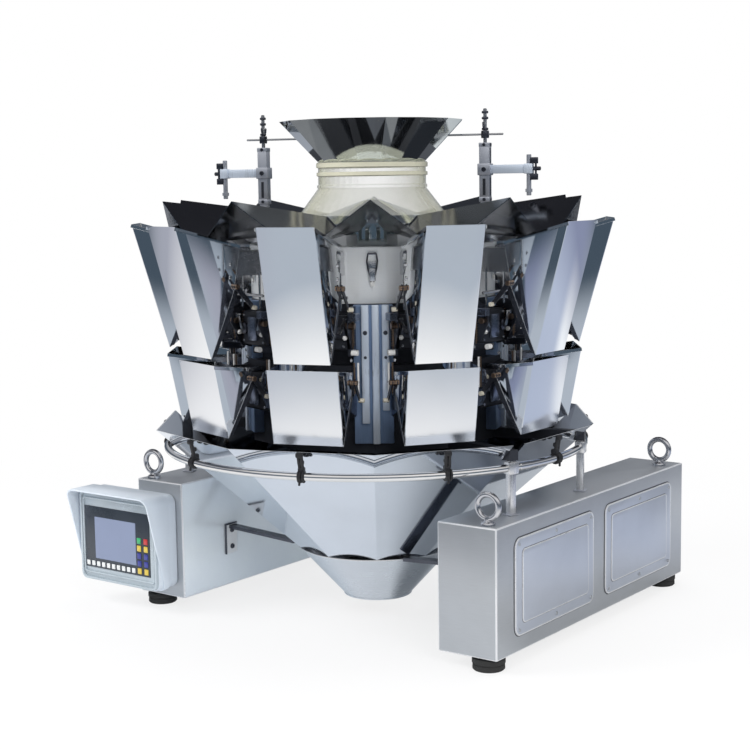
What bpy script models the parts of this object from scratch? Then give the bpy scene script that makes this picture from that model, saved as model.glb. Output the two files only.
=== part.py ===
"""Ten-head combination weigher: ten feed hoppers over ten weigh hoppers round a central drive
body, fed from a funnel and emptying through a ten-sided chute between two side boxes.

Metres, +Z up, the feet stand on Z = 0 and the display hangs at the front left (-Y, -X).
The heads stand round the machine axis. Angles about it are counted from -Y towards +X.
"""
import math

import bmesh
import bpy
from mathutils import Matrix, Vector

# ---------------------------------------------------------------- driving dimensions
GAP = 0.0003                    # between pieces that rest on or fit in each other

HEADS = 10
HEAD_STEP = 2 * math.pi / HEADS
FIRST_HEAD = HEAD_STEP / 2      # the gaps between heads lie at whole steps

HOPPER_SHEET = 0.0016           # wall of both kinds of hopper
GATE_SHEET = 0.0016
KNUCKLE_RADIUS = 0.004          # rolled edge that a gate turns on
HANGER_THICKNESS = 0.004
HANGER_SPREAD = 0.028           # from the head's middle to a hanger plate's inner face

# Hoppers: radius from the axis and height of each corner of the side plate. Their heights
# are written for side boxes whose tops are at DECK_Z.
FEED_WIDTH = 0.135
FEED_FRONT_TOP = (0.593, 0.991)
FEED_FRONT_FOOT = (0.508, 0.687)
FEED_BACK_TOP = (0.423, 0.945)
FEED_HINGE = (0.440, 0.850)
FEED_HANGER_Z = (0.872, 0.928)

WEIGH_WIDTH = 0.169
WEIGH_FRONT_TOP = (0.511, 0.673)
WEIGH_FRONT_FOOT = (0.479, 0.502)
WEIGH_BACK_TOP = (0.414, 0.660)
WEIGH_HINGE = (0.411, 0.636)
WEIGH_HANGER_Z = (0.6425, 0.656)

# Side boxes
BOX_WALL_TO_POST = 0.0497       # outer wall to the middle of a ring post
BOX_WIDTH = 0.1555
BOX_FRONT_Y = -0.305
BOX_LENGTH = 0.939
BOX_HEIGHT = 0.299
BOX_SHEET = 0.003
BOX_EDGE = 0.004
FOOT_HEIGHT = 0.031
FOOT_RADIUS = 0.038
FOOT_INSET = 0.035              # from a box's end to the foot's middle
FOOT_WALL_INSET = 0.043         # from a box's outer wall to the foot's middle
EYE_INSET = (0.024, 0.066)      # from a box's end to the eye bolt's middle: front, rear
EYE_WALL_INSET = 0.036          # from a box's outer wall to the eye bolt's middle
EYE_RING_RADIUS = 0.0245
EYE_WIRE_RADIUS = 0.007
EYE_COLLAR = (0.0165, 0.008)    # radius and height
COVER_LENGTH = 0.365
COVER_HEIGHT = 0.225
COVER_SPACING = 0.060           # bare wall between the two covers
COVER_THICKNESS = 0.003
COVER_LAP = 0.012               # how far a cover laps over its window's edge

# From here on heights are written for side boxes whose tops are at this height, and all
# but the display moves up or down with the real tops.
DECK_Z = 0.330

# Ring rail, the four posts that carry it and the arms that rest on them
RING_RADIUS = 0.524
RING_TUBE_RADIUS = 0.0095
RING_Z = 0.439
POST_SIDE = 0.022
POST_TOP_Z = 0.456
POST_STEPS = (2, 3, 7, 8)       # head steps round the axis
ARM_WIDTH = 0.024
ARM_HEIGHT = 0.024
ARM_OVERHANG = 0.012            # past the ring's middle line

# Central body and the drum on it
CORE_APOTHEM = 0.300
HOUSING_REACH = 0.335           # flat front of the drive housings
HOUSING_WIDTH = 0.120
HOUSING_LOW_Z = (0.545, 0.665)
HOUSING_HIGH_Z = (0.700, 0.785)
DRUM_RADIUS = 0.304
DRUM_Z = (0.806, 0.938)
LID_LIP = (0.004, 0.010)        # how far the lid stands out and how thick it is
PAD_SIZE = (0.060, 0.080)       # vibrator pads under the feeder pans: across, along
PAD_INSET = 0.059               # from the drum's wall to a pad's middle

# Feeder pans, dispersion cone, collar and funnel
CONE_RADIUS = 0.168
CONE_CLEARANCE = 0.004          # between the cone's edge and the pans
PAN_OUTER_RADIUS = 0.500
PAN_FLOOR_Z = (0.972, 0.953)    # at the inner and outer radius
PAN_RIDGE_OUTER_Z = 1.047
PAN_FLOOR_HALF = 0.030
PAN_SHEET = 0.002
CONE_BASE_Z = 0.984
CONE_APEX_Z = 1.046
CONE_STEM_RADIUS = 0.060
COLLAR_NECK_RADIUS = 0.134
COLLAR_FLARE_RADIUS = 0.184
COLLAR_Z = (1.006, 1.072, 1.135)   # foot of the flare, foot of the neck, top
COLLAR_WALL = 0.003
COLLAR_BAND = 0.003
FUNNEL_RIM_RADIUS = 0.229
FUNNEL_RIM_Z = 1.235
FUNNEL_WALL = 0.002
FUNNEL_SIDES = 16

# Stands that hold the funnel
STAND_STEPS = {"funnel_stand_right": 3, "funnel_stand_left": 8}
STAND_INSET = 0.014             # from the drum's wall to a post's middle
STAND_SIDE = 0.020
STAND_TOP_Z = 1.176
STAND_CLEARANCE = 0.004         # hole in the feeder pans round the post
STAND_SCREW_RADIUS = 0.004
STAND_SCREW_TOP_Z = 1.258
FEELER_Z = 1.196
FEELER_RADIUS = 0.004
FEELER_CLAMP_RADIUS = 0.009
SIDE_ARM_Z = 1.112
SIDE_ARM_LENGTH = 0.098
SIDE_ARM_SIDE = 0.014
SIDE_POST_Z = (1.040, 1.160)
SIDE_POST_RADIUS = 0.009

# Discharge chute and outlet
CHUTE_OVERHANG = 0.035          # of the rim's corners past the ring's middle line
CHUTE_RIM_Z = 0.508
CHUTE_FOOT_RADIUS = 0.203       # at the corners
CHUTE_FOOT_Z = 0.173
CHUTE_LIP = 0.006
CHUTE_SHEET = 0.002
OUTLET_TOP_Z = CHUTE_FOOT_Z - GAP
OUTLET_FOOT_RADIUS = 0.084
OUTLET_FOOT_Z = 0.041
OUTLET_SHEET = 0.003
BRACKET_Z = (0.118, 0.142)
BRACKET_THICKNESS = 0.012
BRACKET_PLATE = (0.040, 0.070)  # foot plate on a box's inner wall: along, up

# Display
DISPLAY_WIDTH = 0.285
DISPLAY_HEIGHT = 0.250
DISPLAY_DEPTH = 0.095
DISPLAY_INSET = 0.0155          # from the left box's inner wall to the display's right side
DISPLAY_FOOT_Z = 0.056
DISPLAY_EDGE = 0.014
SCREEN_MARGIN = (0.020, 0.030)  # bezel round the sunk screen: sides, top and foot
SCREEN_SINK = 0.008

# ---------------------------------------------------------------- derived places
BOX_OUTER_X = RING_RADIUS * math.sin(POST_STEPS[0] * HEAD_STEP) + BOX_WALL_TO_POST
BOX_INNER_X = BOX_OUTER_X - BOX_WIDTH
BOX_TOP_Z = FOOT_HEIGHT + BOX_HEIGHT
BOX_BACK_Y = BOX_FRONT_Y + BOX_LENGTH
FEET_Y = (BOX_FRONT_Y + FOOT_INSET, BOX_BACK_Y - FOOT_INSET)
FEET_X = BOX_OUTER_X - FOOT_WALL_INSET
EYES_Y = (BOX_FRONT_Y + EYE_INSET[0], BOX_BACK_Y - EYE_INSET[1])
EYES_X = BOX_OUTER_X - EYE_WALL_INSET
PAD_RADIUS = DRUM_RADIUS - PAD_INSET
STAND_RADIUS = DRUM_RADIUS - STAND_INSET
DISPLAY_RIGHT_X = -BOX_INNER_X - DISPLAY_INSET
PAN_INNER_RADIUS = CONE_RADIUS + CONE_CLEARANCE
PAN_RIDGE_INNER_Z = COLLAR_Z[0] - GAP
FUNNEL_FOOT_Z = COLLAR_Z[2] + GAP
FUNNEL_FOOT_RADIUS = COLLAR_NECK_RADIUS
CHUTE_RIM_RADIUS = RING_RADIUS + CHUTE_OVERHANG
CHUTE_SLOPE = (CHUTE_RIM_RADIUS - CHUTE_FOOT_RADIUS) / (CHUTE_RIM_Z - CHUTE_FOOT_Z)

# The row's origin is under the middle of the whole object, and the axis stands beside it,
# because the display reaches out at the left and the side boxes reach out at the back.
LOWEST_X = min(DISPLAY_RIGHT_X - DISPLAY_WIDTH, -FEED_FRONT_TOP[0])
HIGHEST_X = max(FEED_FRONT_TOP[0], BOX_OUTER_X + COVER_THICKNESS)
FRONT_REACH = (FEED_FRONT_TOP[0] * math.cos(FIRST_HEAD)
               + FEED_WIDTH / 2 * math.sin(FIRST_HEAD))
AXIS_X = -(LOWEST_X + HIGHEST_X) / 2
AXIS_Y = -(max(BOX_BACK_Y, FRONT_REACH) + min(BOX_FRONT_Y - DISPLAY_DEPTH, -FRONT_REACH)) / 2

FINISHES = {
    "polished_steel": ((0.74, 0.76, 0.80), 0.12, 1.0),
    "satin_steel": ((0.62, 0.64, 0.67), 0.38, 1.0),
    "dark_drive": ((0.05, 0.055, 0.065), 0.45, 0.6),
    "rail_steel": ((0.80, 0.80, 0.80), 0.15, 1.0),
    "clear_plastic": ((0.80, 0.80, 0.60), 0.10, 0.0),
    "black_rubber": ((0.03, 0.03, 0.03), 0.80, 0.0),
    "display_plastic": ((0.55, 0.60, 0.66), 0.45, 0.0),
    "bare_aluminium": ((0.66, 0.68, 0.72), 0.35, 1.0),
}


# ---------------------------------------------------------------- helpers
def material(finish):
    """The material of one finish, made once."""
    found = bpy.data.materials.get(finish)
    if found:
        return found
    colour, roughness, metallic = FINISHES[finish]
    made = bpy.data.materials.new(finish)
    made.use_nodes = True
    shader = made.node_tree.nodes["Principled BSDF"]
    shader.inputs["Base Color"].default_value = (*colour, 1.0)
    shader.inputs["Roughness"].default_value = roughness
    shader.inputs["Metallic"].default_value = metallic
    made.diffuse_color = (*colour, 1.0)
    return made


def outward(angle, radius, z=0.0):
    """The point at an angle about the axis, counted from -Y towards +X."""
    return Vector((radius * math.sin(angle), -radius * math.cos(angle), z))


def closed(bm):
    bmesh.ops.recalc_face_normals(bm, faces=bm.faces)
    return bm


def block(low, high):
    """A box between two corners."""
    bm = bmesh.new()
    bmesh.ops.create_cube(bm, size=1.0)
    size = [b - a for a, b in zip(low, high)]
    middle = [(a + b) / 2 for a, b in zip(low, high)]
    bmesh.ops.scale(bm, verts=bm.verts, vec=size)
    bmesh.ops.translate(bm, verts=bm.verts, vec=middle)
    return bm


def rounded_block(low, high, radius, segments=2, direction=None):
    """A box whose edges are bevelled, all of them or only those along one axis."""
    bm = block(low, high)
    edges = [e for e in bm.edges if direction is None
             or abs((e.verts[1].co - e.verts[0].co).normalized()[direction]) > 0.9]
    bmesh.ops.bevel(bm, geom=edges, offset=radius, segments=segments, affect="EDGES", profile=0.5)
    return bm


def rod(start, end, radius, sides=12):
    """A round bar between two points."""
    start, end = Vector(start), Vector(end)
    bm = bmesh.new()
    bmesh.ops.create_cone(bm, cap_ends=True, segments=sides, radius1=radius, radius2=radius,
                          depth=(end - start).length)
    turn = (end - start).to_track_quat("Z", "Y").to_matrix().to_4x4()
    bm.transform(Matrix.Translation((start + end) / 2) @ turn)
    return bm


def turned(profile, sides):
    """A body turned about Z from a closed outline of (radius, z); radius 0 is a pole."""
    bm = bmesh.new()
    rings = []
    for radius, z in profile:
        count = sides if radius > 0 else 1
        rings.append([bm.verts.new(outward(2 * math.pi * i / sides, radius, z))
                      for i in range(count)])
    for one, two in zip(rings, rings[1:] + rings[:1]):
        if len(one) == len(two) == 1:
            continue
        for i in range(sides):
            j = (i + 1) % sides
            corners = [one[i % len(one)], one[j % len(one)], two[j % len(two)], two[i % len(two)]]
            bm.faces.new(dict.fromkeys(corners))
    return closed(bm)


def circle(centre_radius, centre_z, radius, sides):
    """The outline that turns into a ring of round wire."""
    return [(centre_radius + radius * math.cos(2 * math.pi * i / sides),
             centre_z + radius * math.sin(2 * math.pi * i / sides)) for i in range(sides)]


def placed(bm, matrix):
    bm.transform(matrix)
    return bm


def merged(body, *tools):
    """A mesh of the body with each (operation, tool) Boolean applied to it."""
    def temporary(bm):
        mesh = bpy.data.meshes.new("temporary")
        bm.to_mesh(mesh)
        bm.free()
        made = bpy.data.objects.new("temporary", mesh)
        bpy.context.scene.collection.objects.link(made)
        return made

    base = temporary(body)
    others = [temporary(tool) for _, tool in tools]
    for (operation, _), other in zip(tools, others):
        modifier = base.modifiers.new(operation, "BOOLEAN")
        modifier.operation = operation
        modifier.solver = "EXACT"
        modifier.object = other
    depsgraph = bpy.context.evaluated_depsgraph_get()
    mesh = bpy.data.meshes.new_from_object(base.evaluated_get(depsgraph))
    for made in (base, *others):
        bpy.data.objects.remove(made)
    return mesh


def as_mesh(bm):
    mesh = bpy.data.meshes.new("shape")
    bm.to_mesh(mesh)
    bm.free()
    return mesh


def add_node(name, mesh, finish, axis, location=(0, 0, 0), turn=0.0, smooth=True):
    """One named sub-part, parented to the machine axis."""
    node = bpy.data.objects.new(name, mesh)
    bpy.context.scene.collection.objects.link(node)
    node.parent = axis
    node.location = location
    node.rotation_euler = (0, 0, turn)
    if smooth:
        mesh.shade_smooth()
        mesh.set_sharp_from_angle(angle=math.radians(30))
    if not mesh.materials:
        mesh.materials.append(material(finish))
    return node


# ---------------------------------------------------------------- hoppers and gates
def line_crossing(point_a, way_a, point_b, way_b):
    """Where two lines of a plane cross."""
    det = way_a[0] * way_b[1] - way_a[1] * way_b[0]
    gap_x, gap_y = point_b[0] - point_a[0], point_b[1] - point_a[1]
    along = (gap_x * way_b[1] - gap_y * way_b[0]) / det
    return point_a[0] + along * way_a[0], point_a[1] + along * way_a[1]


def inner_outline(outline, walls, sheet):
    """The outline moved in by the sheet along its walls and not at all along its open edges."""
    count = len(outline)
    area = sum(outline[i][0] * outline[(i + 1) % count][1]
               - outline[(i + 1) % count][0] * outline[i][1] for i in range(count))
    side = 1 if area > 0 else -1
    lines = []
    for i in range(count):
        (x0, y0), (x1, y1) = outline[i], outline[(i + 1) % count]
        length = math.hypot(x1 - x0, y1 - y0)
        way = ((x1 - x0) / length, (y1 - y0) / length)
        shift = sheet * side if i in walls else 0.0
        lines.append(((x0 - way[1] * shift, y0 + way[0] * shift), way))
    inner = []
    for i in range(count):
        if (i not in walls) and ((i - 1) % count not in walls):
            inner.append(outline[i])
        else:
            inner.append(line_crossing(*lines[i - 1], *lines[i]))
    return inner


def open_hopper(outline, walls, width, sheet):
    """A sheet-metal hopper: side plates of the outline, joined by plates along its walls.

    The outline is (radius, z) and the hopper reaches out towards -Y.
    """
    inner = inner_outline(outline, walls, sheet)
    bm = bmesh.new()

    def corners(points, half):
        return {s: [bm.verts.new((s * half, -r, z)) for r, z in points] for s in (-1, 1)}

    outer_side = corners(outline, width / 2)
    inner_side = corners(inner, width / 2 - sheet)
    count = len(outline)
    for side in (-1, 1):
        bm.faces.new(outer_side[side])
        bm.faces.new(inner_side[side])
    for i in range(count):
        j = (i + 1) % count
        if i in walls:
            for pair in (outer_side, inner_side):
                bm.faces.new((pair[-1][i], pair[-1][j], pair[1][j], pair[1][i]))
        else:
            for side in (-1, 1):
                bm.faces.new((outer_side[side][i], outer_side[side][j],
                              inner_side[side][j], inner_side[side][i]))
        if (i in walls) != ((i - 1) % count in walls):
            bm.faces.new((outer_side[-1][i], outer_side[1][i],
                          inner_side[1][i], inner_side[-1][i]))
    return closed(bm)


def gate_way(hinge, foot):
    """Length and direction from the hinge to the front plate's foot."""
    way = Vector((foot[0] - hinge[0], foot[1] - hinge[1]))
    return way.length, way.normalized()


def hopper_outline(front_top, front_foot, back_top, hinge):
    """Side plate: front plate, gate edge, a round notch for the knuckle, back plate and rim."""
    way = gate_way(hinge, front_foot)[1]
    notch = KNUCKLE_RADIUS + GAP
    lift = Vector((-way.y, way.x)) * GAP
    if lift.y < 0:
        lift = -lift
    start = math.atan2(way.y, way.x)
    end = math.pi / 2
    steps = 6
    points = [front_top, tuple(Vector(front_foot) + lift)]
    for i in range(steps + 1):
        angle = start + (end - start) * i / steps
        radius = notch / math.cos((end - start) / steps / 2)
        points.append((hinge[0] + radius * math.cos(angle), hinge[1] + radius * math.sin(angle)))
    # the gate edge meets the notch just above the gate's face
    points[2] = tuple(Vector(points[2]) + lift)
    points.append(back_top)
    front_wall, back_wall = 0, len(points) - 2
    return points, {front_wall, back_wall}


def gate_mesh(hinge, front_foot, width):
    """A flat gate with a rolled edge on its hinge line, which is the mesh's own origin."""
    length, way = gate_way(hinge, front_foot)
    across = Vector((way.y, -way.x))
    if across.y > 0:
        across = -across
    sides = 16
    first = math.asin(GATE_SHEET / KNUCKLE_RADIUS)
    outline = []
    for i in range(sides + 1):
        angle = first + (2 * math.pi - first) * i / sides
        outline.append(KNUCKLE_RADIUS * (way * math.cos(angle) + across * math.sin(angle)))
    outline.append(way * length)
    outline.append(way * length + across * GATE_SHEET)
    bm = bmesh.new()
    ends = {s: [bm.verts.new((s * width / 2, -p.x, p.y)) for p in outline] for s in (-1, 1)}
    for side in ends.values():
        bm.faces.new(side)
    for i in range(len(outline)):
        j = (i + 1) % len(outline)
        bm.faces.new((ends[-1][i], ends[-1][j], ends[1][j], ends[1][i]))
    return as_mesh(closed(bm))


def hangers(seat_radius, round_seat, heights, back_radius):
    """The two plates that hang a hopper on what stands behind it."""
    seat = math.sqrt(seat_radius ** 2 - HANGER_SPREAD ** 2) if round_seat else seat_radius
    reach = back_radius + 2 * HOPPER_SHEET
    plates = []
    for side in (-1, 1):
        across = sorted((side * HANGER_SPREAD, side * (HANGER_SPREAD + HANGER_THICKNESS)))
        plates.append(block((across[0], -reach, heights[0]), (across[1], -seat - GAP, heights[1])))
    return [("UNION", plate) for plate in plates]


def back_radius_at(outline, z):
    """Radius of the back plate's outer face at a height."""
    (r0, z0), (r1, z1) = outline[-1], outline[-2]
    return r0 + (r1 - r0) * (z - z0) / (z1 - z0)


def add_heads(axis):
    """The ten feed hoppers and ten weigh hoppers, each with its gate."""
    kinds = (
        ("feed", FEED_FRONT_TOP, FEED_FRONT_FOOT, FEED_BACK_TOP, FEED_HINGE, FEED_WIDTH,
         FEED_HANGER_Z, DRUM_RADIUS, True),
        ("weigh", WEIGH_FRONT_TOP, WEIGH_FRONT_FOOT, WEIGH_BACK_TOP, WEIGH_HINGE, WEIGH_WIDTH,
         WEIGH_HANGER_Z, HOUSING_REACH, False),
    )
    for kind, front_top, front_foot, back_top, hinge, width, heights, seat, round_seat in kinds:
        outline, walls = hopper_outline(front_top, front_foot, back_top, hinge)
        shell = open_hopper(outline, walls, width, HOPPER_SHEET)
        back = min(back_radius_at(outline, z) for z in heights)
        hopper = merged(shell, *hangers(seat, round_seat, heights, back))
        gate = gate_mesh(hinge, front_foot, width)
        for head in range(HEADS):
            angle = FIRST_HEAD + head * HEAD_STEP
            add_node(f"{kind}_hopper_{head + 1:02d}", hopper, "polished_steel", axis, turn=angle)
            add_node(f"{kind}_gate_{head + 1:02d}", gate, "polished_steel", axis,
                     location=outward(angle, *hinge), turn=angle)


# ---------------------------------------------------------------- side boxes
def eye_bolt(x, y):
    """An eye bolt standing on a box: collar, and a ring across the machine's length."""
    radius, height = EYE_COLLAR
    collar = turned([(0, BOX_TOP_Z - BOX_SHEET / 2), (radius, BOX_TOP_Z - BOX_SHEET / 2),
                     (radius, BOX_TOP_Z + height / 2), (radius * 0.7, BOX_TOP_Z + height),
                     (0, BOX_TOP_Z + height)], 20)
    ring = turned(circle(EYE_RING_RADIUS, 0, EYE_WIRE_RADIUS, 10), 24)
    middle_z = BOX_TOP_Z + height + EYE_RING_RADIUS + EYE_WIRE_RADIUS / 2
    upright = Matrix.Translation((x, y, middle_z)) @ Matrix.Rotation(math.pi / 2, 4, "X")
    return [("UNION", placed(collar, Matrix.Translation((x, y, 0)))),
            ("UNION", placed(ring, upright))]


def cover_spans():
    """Start and end along Y of the two cover plates, centred on the box."""
    middle = BOX_FRONT_Y + BOX_LENGTH / 2
    inner = COVER_SPACING / 2
    return ((middle - inner - COVER_LENGTH, middle - inner),
            (middle + inner, middle + inner + COVER_LENGTH))


def cover_heights():
    middle = FOOT_HEIGHT + BOX_HEIGHT / 2
    return middle - COVER_HEIGHT / 2, middle + COVER_HEIGHT / 2


def add_boxes(axis):
    """Two hollow side boxes, their eye bolts, the right one's covers, and the feet."""
    for side, name in ((-1, "side_box_left"), (1, "side_box_right")):
        xs = sorted((side * BOX_INNER_X, side * BOX_OUTER_X))
        shell = rounded_block((xs[0], BOX_FRONT_Y, FOOT_HEIGHT), (xs[1], BOX_BACK_Y, BOX_TOP_Z),
                              BOX_EDGE)
        hollow = block((xs[0] + BOX_SHEET, BOX_FRONT_Y + BOX_SHEET, FOOT_HEIGHT + BOX_SHEET),
                       (xs[1] - BOX_SHEET, BOX_BACK_Y - BOX_SHEET, BOX_TOP_Z - BOX_SHEET))
        tools = [("DIFFERENCE", hollow)]
        rim = 2 * FOOT_RADIUS + FOOT_INSET
        hatch = block((xs[0] + BOX_WIDTH / 4, BOX_FRONT_Y + rim, FOOT_HEIGHT - BOX_SHEET),
                      (xs[1] - BOX_WIDTH / 4, BOX_BACK_Y - rim, FOOT_HEIGHT + 2 * BOX_SHEET))
        tools.append(("DIFFERENCE", hatch))
        if side > 0:
            low, high = cover_heights()
            for start, end in cover_spans():
                window = block((BOX_OUTER_X - 2 * BOX_SHEET, start + COVER_LAP, low + COVER_LAP),
                               (BOX_OUTER_X + BOX_SHEET, end - COVER_LAP, high - COVER_LAP))
                tools.append(("DIFFERENCE", window))
        for y in EYES_Y:
            tools += eye_bolt(side * EYES_X, y)
        add_node(name, merged(shell, *tools), "satin_steel", axis)
    low, high = cover_heights()
    for (start, end), name in zip(cover_spans(), ("cover_plate_front", "cover_plate_rear")):
        plate = rounded_block((BOX_OUTER_X + GAP, start, low),
                              (BOX_OUTER_X + GAP + COVER_THICKNESS, end, high),
                              COVER_LAP, segments=4, direction=0)
        add_node(name, as_mesh(plate), "satin_steel", axis)
    for y, row in zip(FEET_Y, ("front", "rear")):
        for side, hand in ((-1, "left"), (1, "right")):
            top = FOOT_HEIGHT - GAP
            foot = turned([(0, 0), (FOOT_RADIUS, 0), (FOOT_RADIUS, top * 0.45),
                           (FOOT_RADIUS * 0.8, top * 0.7), (FOOT_RADIUS * 0.8, top), (0, top)], 24)
            add_node(f"foot_{row}_{hand}", as_mesh(foot), "black_rubber", axis,
                     location=(side * FEET_X, y, 0))


# ---------------------------------------------------------------- frame, body and drum
def add_ring_frame(axis):
    """The round rail and the four posts that carry it on the boxes."""
    rail = turned(circle(RING_RADIUS, RING_Z, RING_TUBE_RADIUS, 10), 60)
    half = POST_SIDE / 2
    posts = []
    for step in POST_STEPS:
        post = block((-half, -RING_RADIUS - half, DECK_Z + GAP),
                     (half, -RING_RADIUS + half, POST_TOP_Z))
        posts.append(("UNION", placed(post, Matrix.Rotation(step * HEAD_STEP, 4, "Z"))))
    add_node("ring_frame", merged(rail, *posts), "rail_steel", axis)


def arm_blocks(width, low_z, high_z, reach):
    """Bars from the axis out to the posts."""
    bars = []
    for step in POST_STEPS:
        bar = block((-width / 2, -reach, low_z), (width / 2, -CORE_APOTHEM + width, high_z))
        bars.append(placed(bar, Matrix.Rotation(step * HEAD_STEP, 4, "Z")))
    return bars


def add_central_body(axis):
    """Ten-sided column with two drive housings behind each head and four arms at its foot."""
    corner = CORE_APOTHEM / math.cos(HEAD_STEP / 2)
    low, high = POST_TOP_Z + GAP, DRUM_Z[0] - GAP
    column = turned([(0, low), (corner, low), (corner, high), (0, high)], HEADS)
    half = HOUSING_WIDTH / 2
    tools = []
    for head in range(HEADS):
        turn = Matrix.Rotation(FIRST_HEAD + head * HEAD_STEP, 4, "Z")
        for foot, top in (HOUSING_LOW_Z, HOUSING_HIGH_Z):
            housing = block((-half, -HOUSING_REACH, foot), (half, -CORE_APOTHEM + half, top))
            tools.append(("UNION", placed(housing, turn)))
    arms = arm_blocks(ARM_WIDTH, low, low + ARM_HEIGHT, RING_RADIUS + ARM_OVERHANG)
    tools += [("UNION", arm) for arm in arms]
    add_node("central_body", merged(column, *tools), "dark_drive", axis, smooth=False)


def add_drum(axis):
    """The drum over the drives, with a lid lip and a pad under each feeder pan."""
    lip, lid = LID_LIP
    low, high = DRUM_Z
    body = turned([(0, low), (DRUM_RADIUS, low), (DRUM_RADIUS, high - lid),
                   (DRUM_RADIUS + lip, high - lid), (DRUM_RADIUS + lip, high - lip / 2),
                   (DRUM_RADIUS + lip / 2, high), (0, high)], 60)
    pads = []
    across, along = PAD_SIZE
    pad_top = pan_floor_z(PAD_RADIUS + along / 2) - PAN_SHEET - GAP
    for head in range(HEADS):
        pad = block((-across / 2, -PAD_RADIUS - along / 2, high - lid / 2),
                    (across / 2, -PAD_RADIUS + along / 2, pad_top))
        turn = Matrix.Rotation(FIRST_HEAD + head * HEAD_STEP, 4, "Z")
        pads.append(("UNION", placed(pad, turn)))
    add_node("drum", merged(body, *pads), "satin_steel", axis)


# ---------------------------------------------------------------- feeding
def pan_floor_z(radius):
    """Height of a feeder pan's floor, which falls outwards."""
    share = (radius - PAN_INNER_RADIUS) / (PAN_OUTER_RADIUS - PAN_INNER_RADIUS)
    return PAN_FLOOR_Z[0] + share * (PAN_FLOOR_Z[1] - PAN_FLOOR_Z[0])


def pan_ridge_z(radius):
    """Height of the ridge between two pans, which rises outwards from the collar's foot."""
    share = (radius - COLLAR_FLARE_RADIUS) / (PAN_OUTER_RADIUS - COLLAR_FLARE_RADIUS)
    return PAN_RIDGE_INNER_Z + share * (PAN_RIDGE_OUTER_Z - PAN_RIDGE_INNER_Z)


def pan_section(radius):
    """Upper line of the ten troughs at one radius: ridge, floor corner, floor corner, ..."""
    points = []
    half = min(PAN_FLOOR_HALF, radius * math.tan(HEAD_STEP / 2) * 0.45)
    for head in range(HEADS):
        ridge_angle = head * HEAD_STEP
        ridge_reach = radius / math.cos(HEAD_STEP / 2)
        points.append(outward(ridge_angle, ridge_reach, pan_ridge_z(radius)))
        head_angle = FIRST_HEAD + ridge_angle
        for side in (-1, 1):
            spread = side * math.atan2(half, radius)
            points.append(outward(head_angle + spread, math.hypot(radius, half),
                                  pan_floor_z(radius)))
    return points


def add_feeding(axis):
    """Feeder pans, dispersion cone, clear collar and infeed funnel."""
    radii = (PAN_INNER_RADIUS, COLLAR_FLARE_RADIUS, PAN_OUTER_RADIUS)
    bm = bmesh.new()
    layers = []
    for drop in (0.0, PAN_SHEET):
        layers.append([[bm.verts.new(p - Vector((0, 0, drop))) for p in pan_section(radius)]
                       for radius in radii])
    count = len(layers[0][0])
    loops = [layers[0][0], layers[0][1], layers[0][2], layers[1][2], layers[1][1], layers[1][0]]
    for one, two in zip(loops, loops[1:] + loops[:1]):
        for i in range(count):
            j = (i + 1) % count
            bm.faces.new((one[i], one[j], two[j], two[i]))
    bmesh.ops.triangulate(bm, faces=bm.faces)   # the troughs' sides are slightly twisted
    half = STAND_SIDE / 2 + STAND_CLEARANCE
    holes = []
    for step in STAND_STEPS.values():
        hole = block((-half, -STAND_RADIUS - half, PAN_FLOOR_Z[1]),
                     (half, -STAND_RADIUS + half, PAN_RIDGE_OUTER_Z))
        holes.append(("DIFFERENCE", placed(hole, Matrix.Rotation(step * HEAD_STEP, 4, "Z"))))
    add_node("feeder_pans", merged(closed(bm), *holes), "polished_steel", axis, smooth=False)

    rim = CONE_BASE_Z + 0.003
    cone = turned([(0, DRUM_Z[1] + GAP), (CONE_STEM_RADIUS, DRUM_Z[1] + GAP),
                   (CONE_STEM_RADIUS, CONE_BASE_Z), (CONE_RADIUS, CONE_BASE_Z),
                   (CONE_RADIUS, rim), (CONE_RADIUS * 0.12, CONE_APEX_Z - 0.004),
                   (0, CONE_APEX_Z)], 40)
    add_node("dispersion_cone", as_mesh(cone), "polished_steel", axis)

    low, waist, top = COLLAR_Z
    band = COLLAR_NECK_RADIUS + COLLAR_BAND
    wall = COLLAR_WALL
    outside = [(COLLAR_FLARE_RADIUS, low), (COLLAR_NECK_RADIUS, waist),
               (band, waist), (band, waist + 2 * COLLAR_BAND),
               (COLLAR_NECK_RADIUS, waist + 3 * COLLAR_BAND),
               (COLLAR_NECK_RADIUS, top - 3 * COLLAR_BAND), (band, top - 2 * COLLAR_BAND),
               (band, top)]
    inside = [(COLLAR_NECK_RADIUS - wall, top), (COLLAR_NECK_RADIUS - wall, waist),
              (COLLAR_FLARE_RADIUS - wall, low)]
    add_node("clear_collar", as_mesh(turned(outside + inside, 48)), "clear_plastic", axis)

    funnel = turned([(FUNNEL_FOOT_RADIUS, FUNNEL_FOOT_Z), (FUNNEL_RIM_RADIUS, FUNNEL_RIM_Z),
                     (FUNNEL_RIM_RADIUS - FUNNEL_WALL, FUNNEL_RIM_Z),
                     (FUNNEL_FOOT_RADIUS - FUNNEL_WALL, FUNNEL_FOOT_Z)], FUNNEL_SIDES)
    add_node("infeed_funnel", as_mesh(funnel), "polished_steel", axis, smooth=False)


def funnel_radius_at(z, angle):
    """Outer radius of the many-sided funnel at a height, in one direction."""
    share = (z - FUNNEL_FOOT_Z) / (FUNNEL_RIM_Z - FUNNEL_FOOT_Z)
    corner = FUNNEL_FOOT_RADIUS + share * (FUNNEL_RIM_RADIUS - FUNNEL_FOOT_RADIUS)
    side_step = 2 * math.pi / FUNNEL_SIDES
    off_middle = (angle % side_step) - side_step / 2
    return corner * math.cos(side_step / 2) / math.cos(off_middle)


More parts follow.
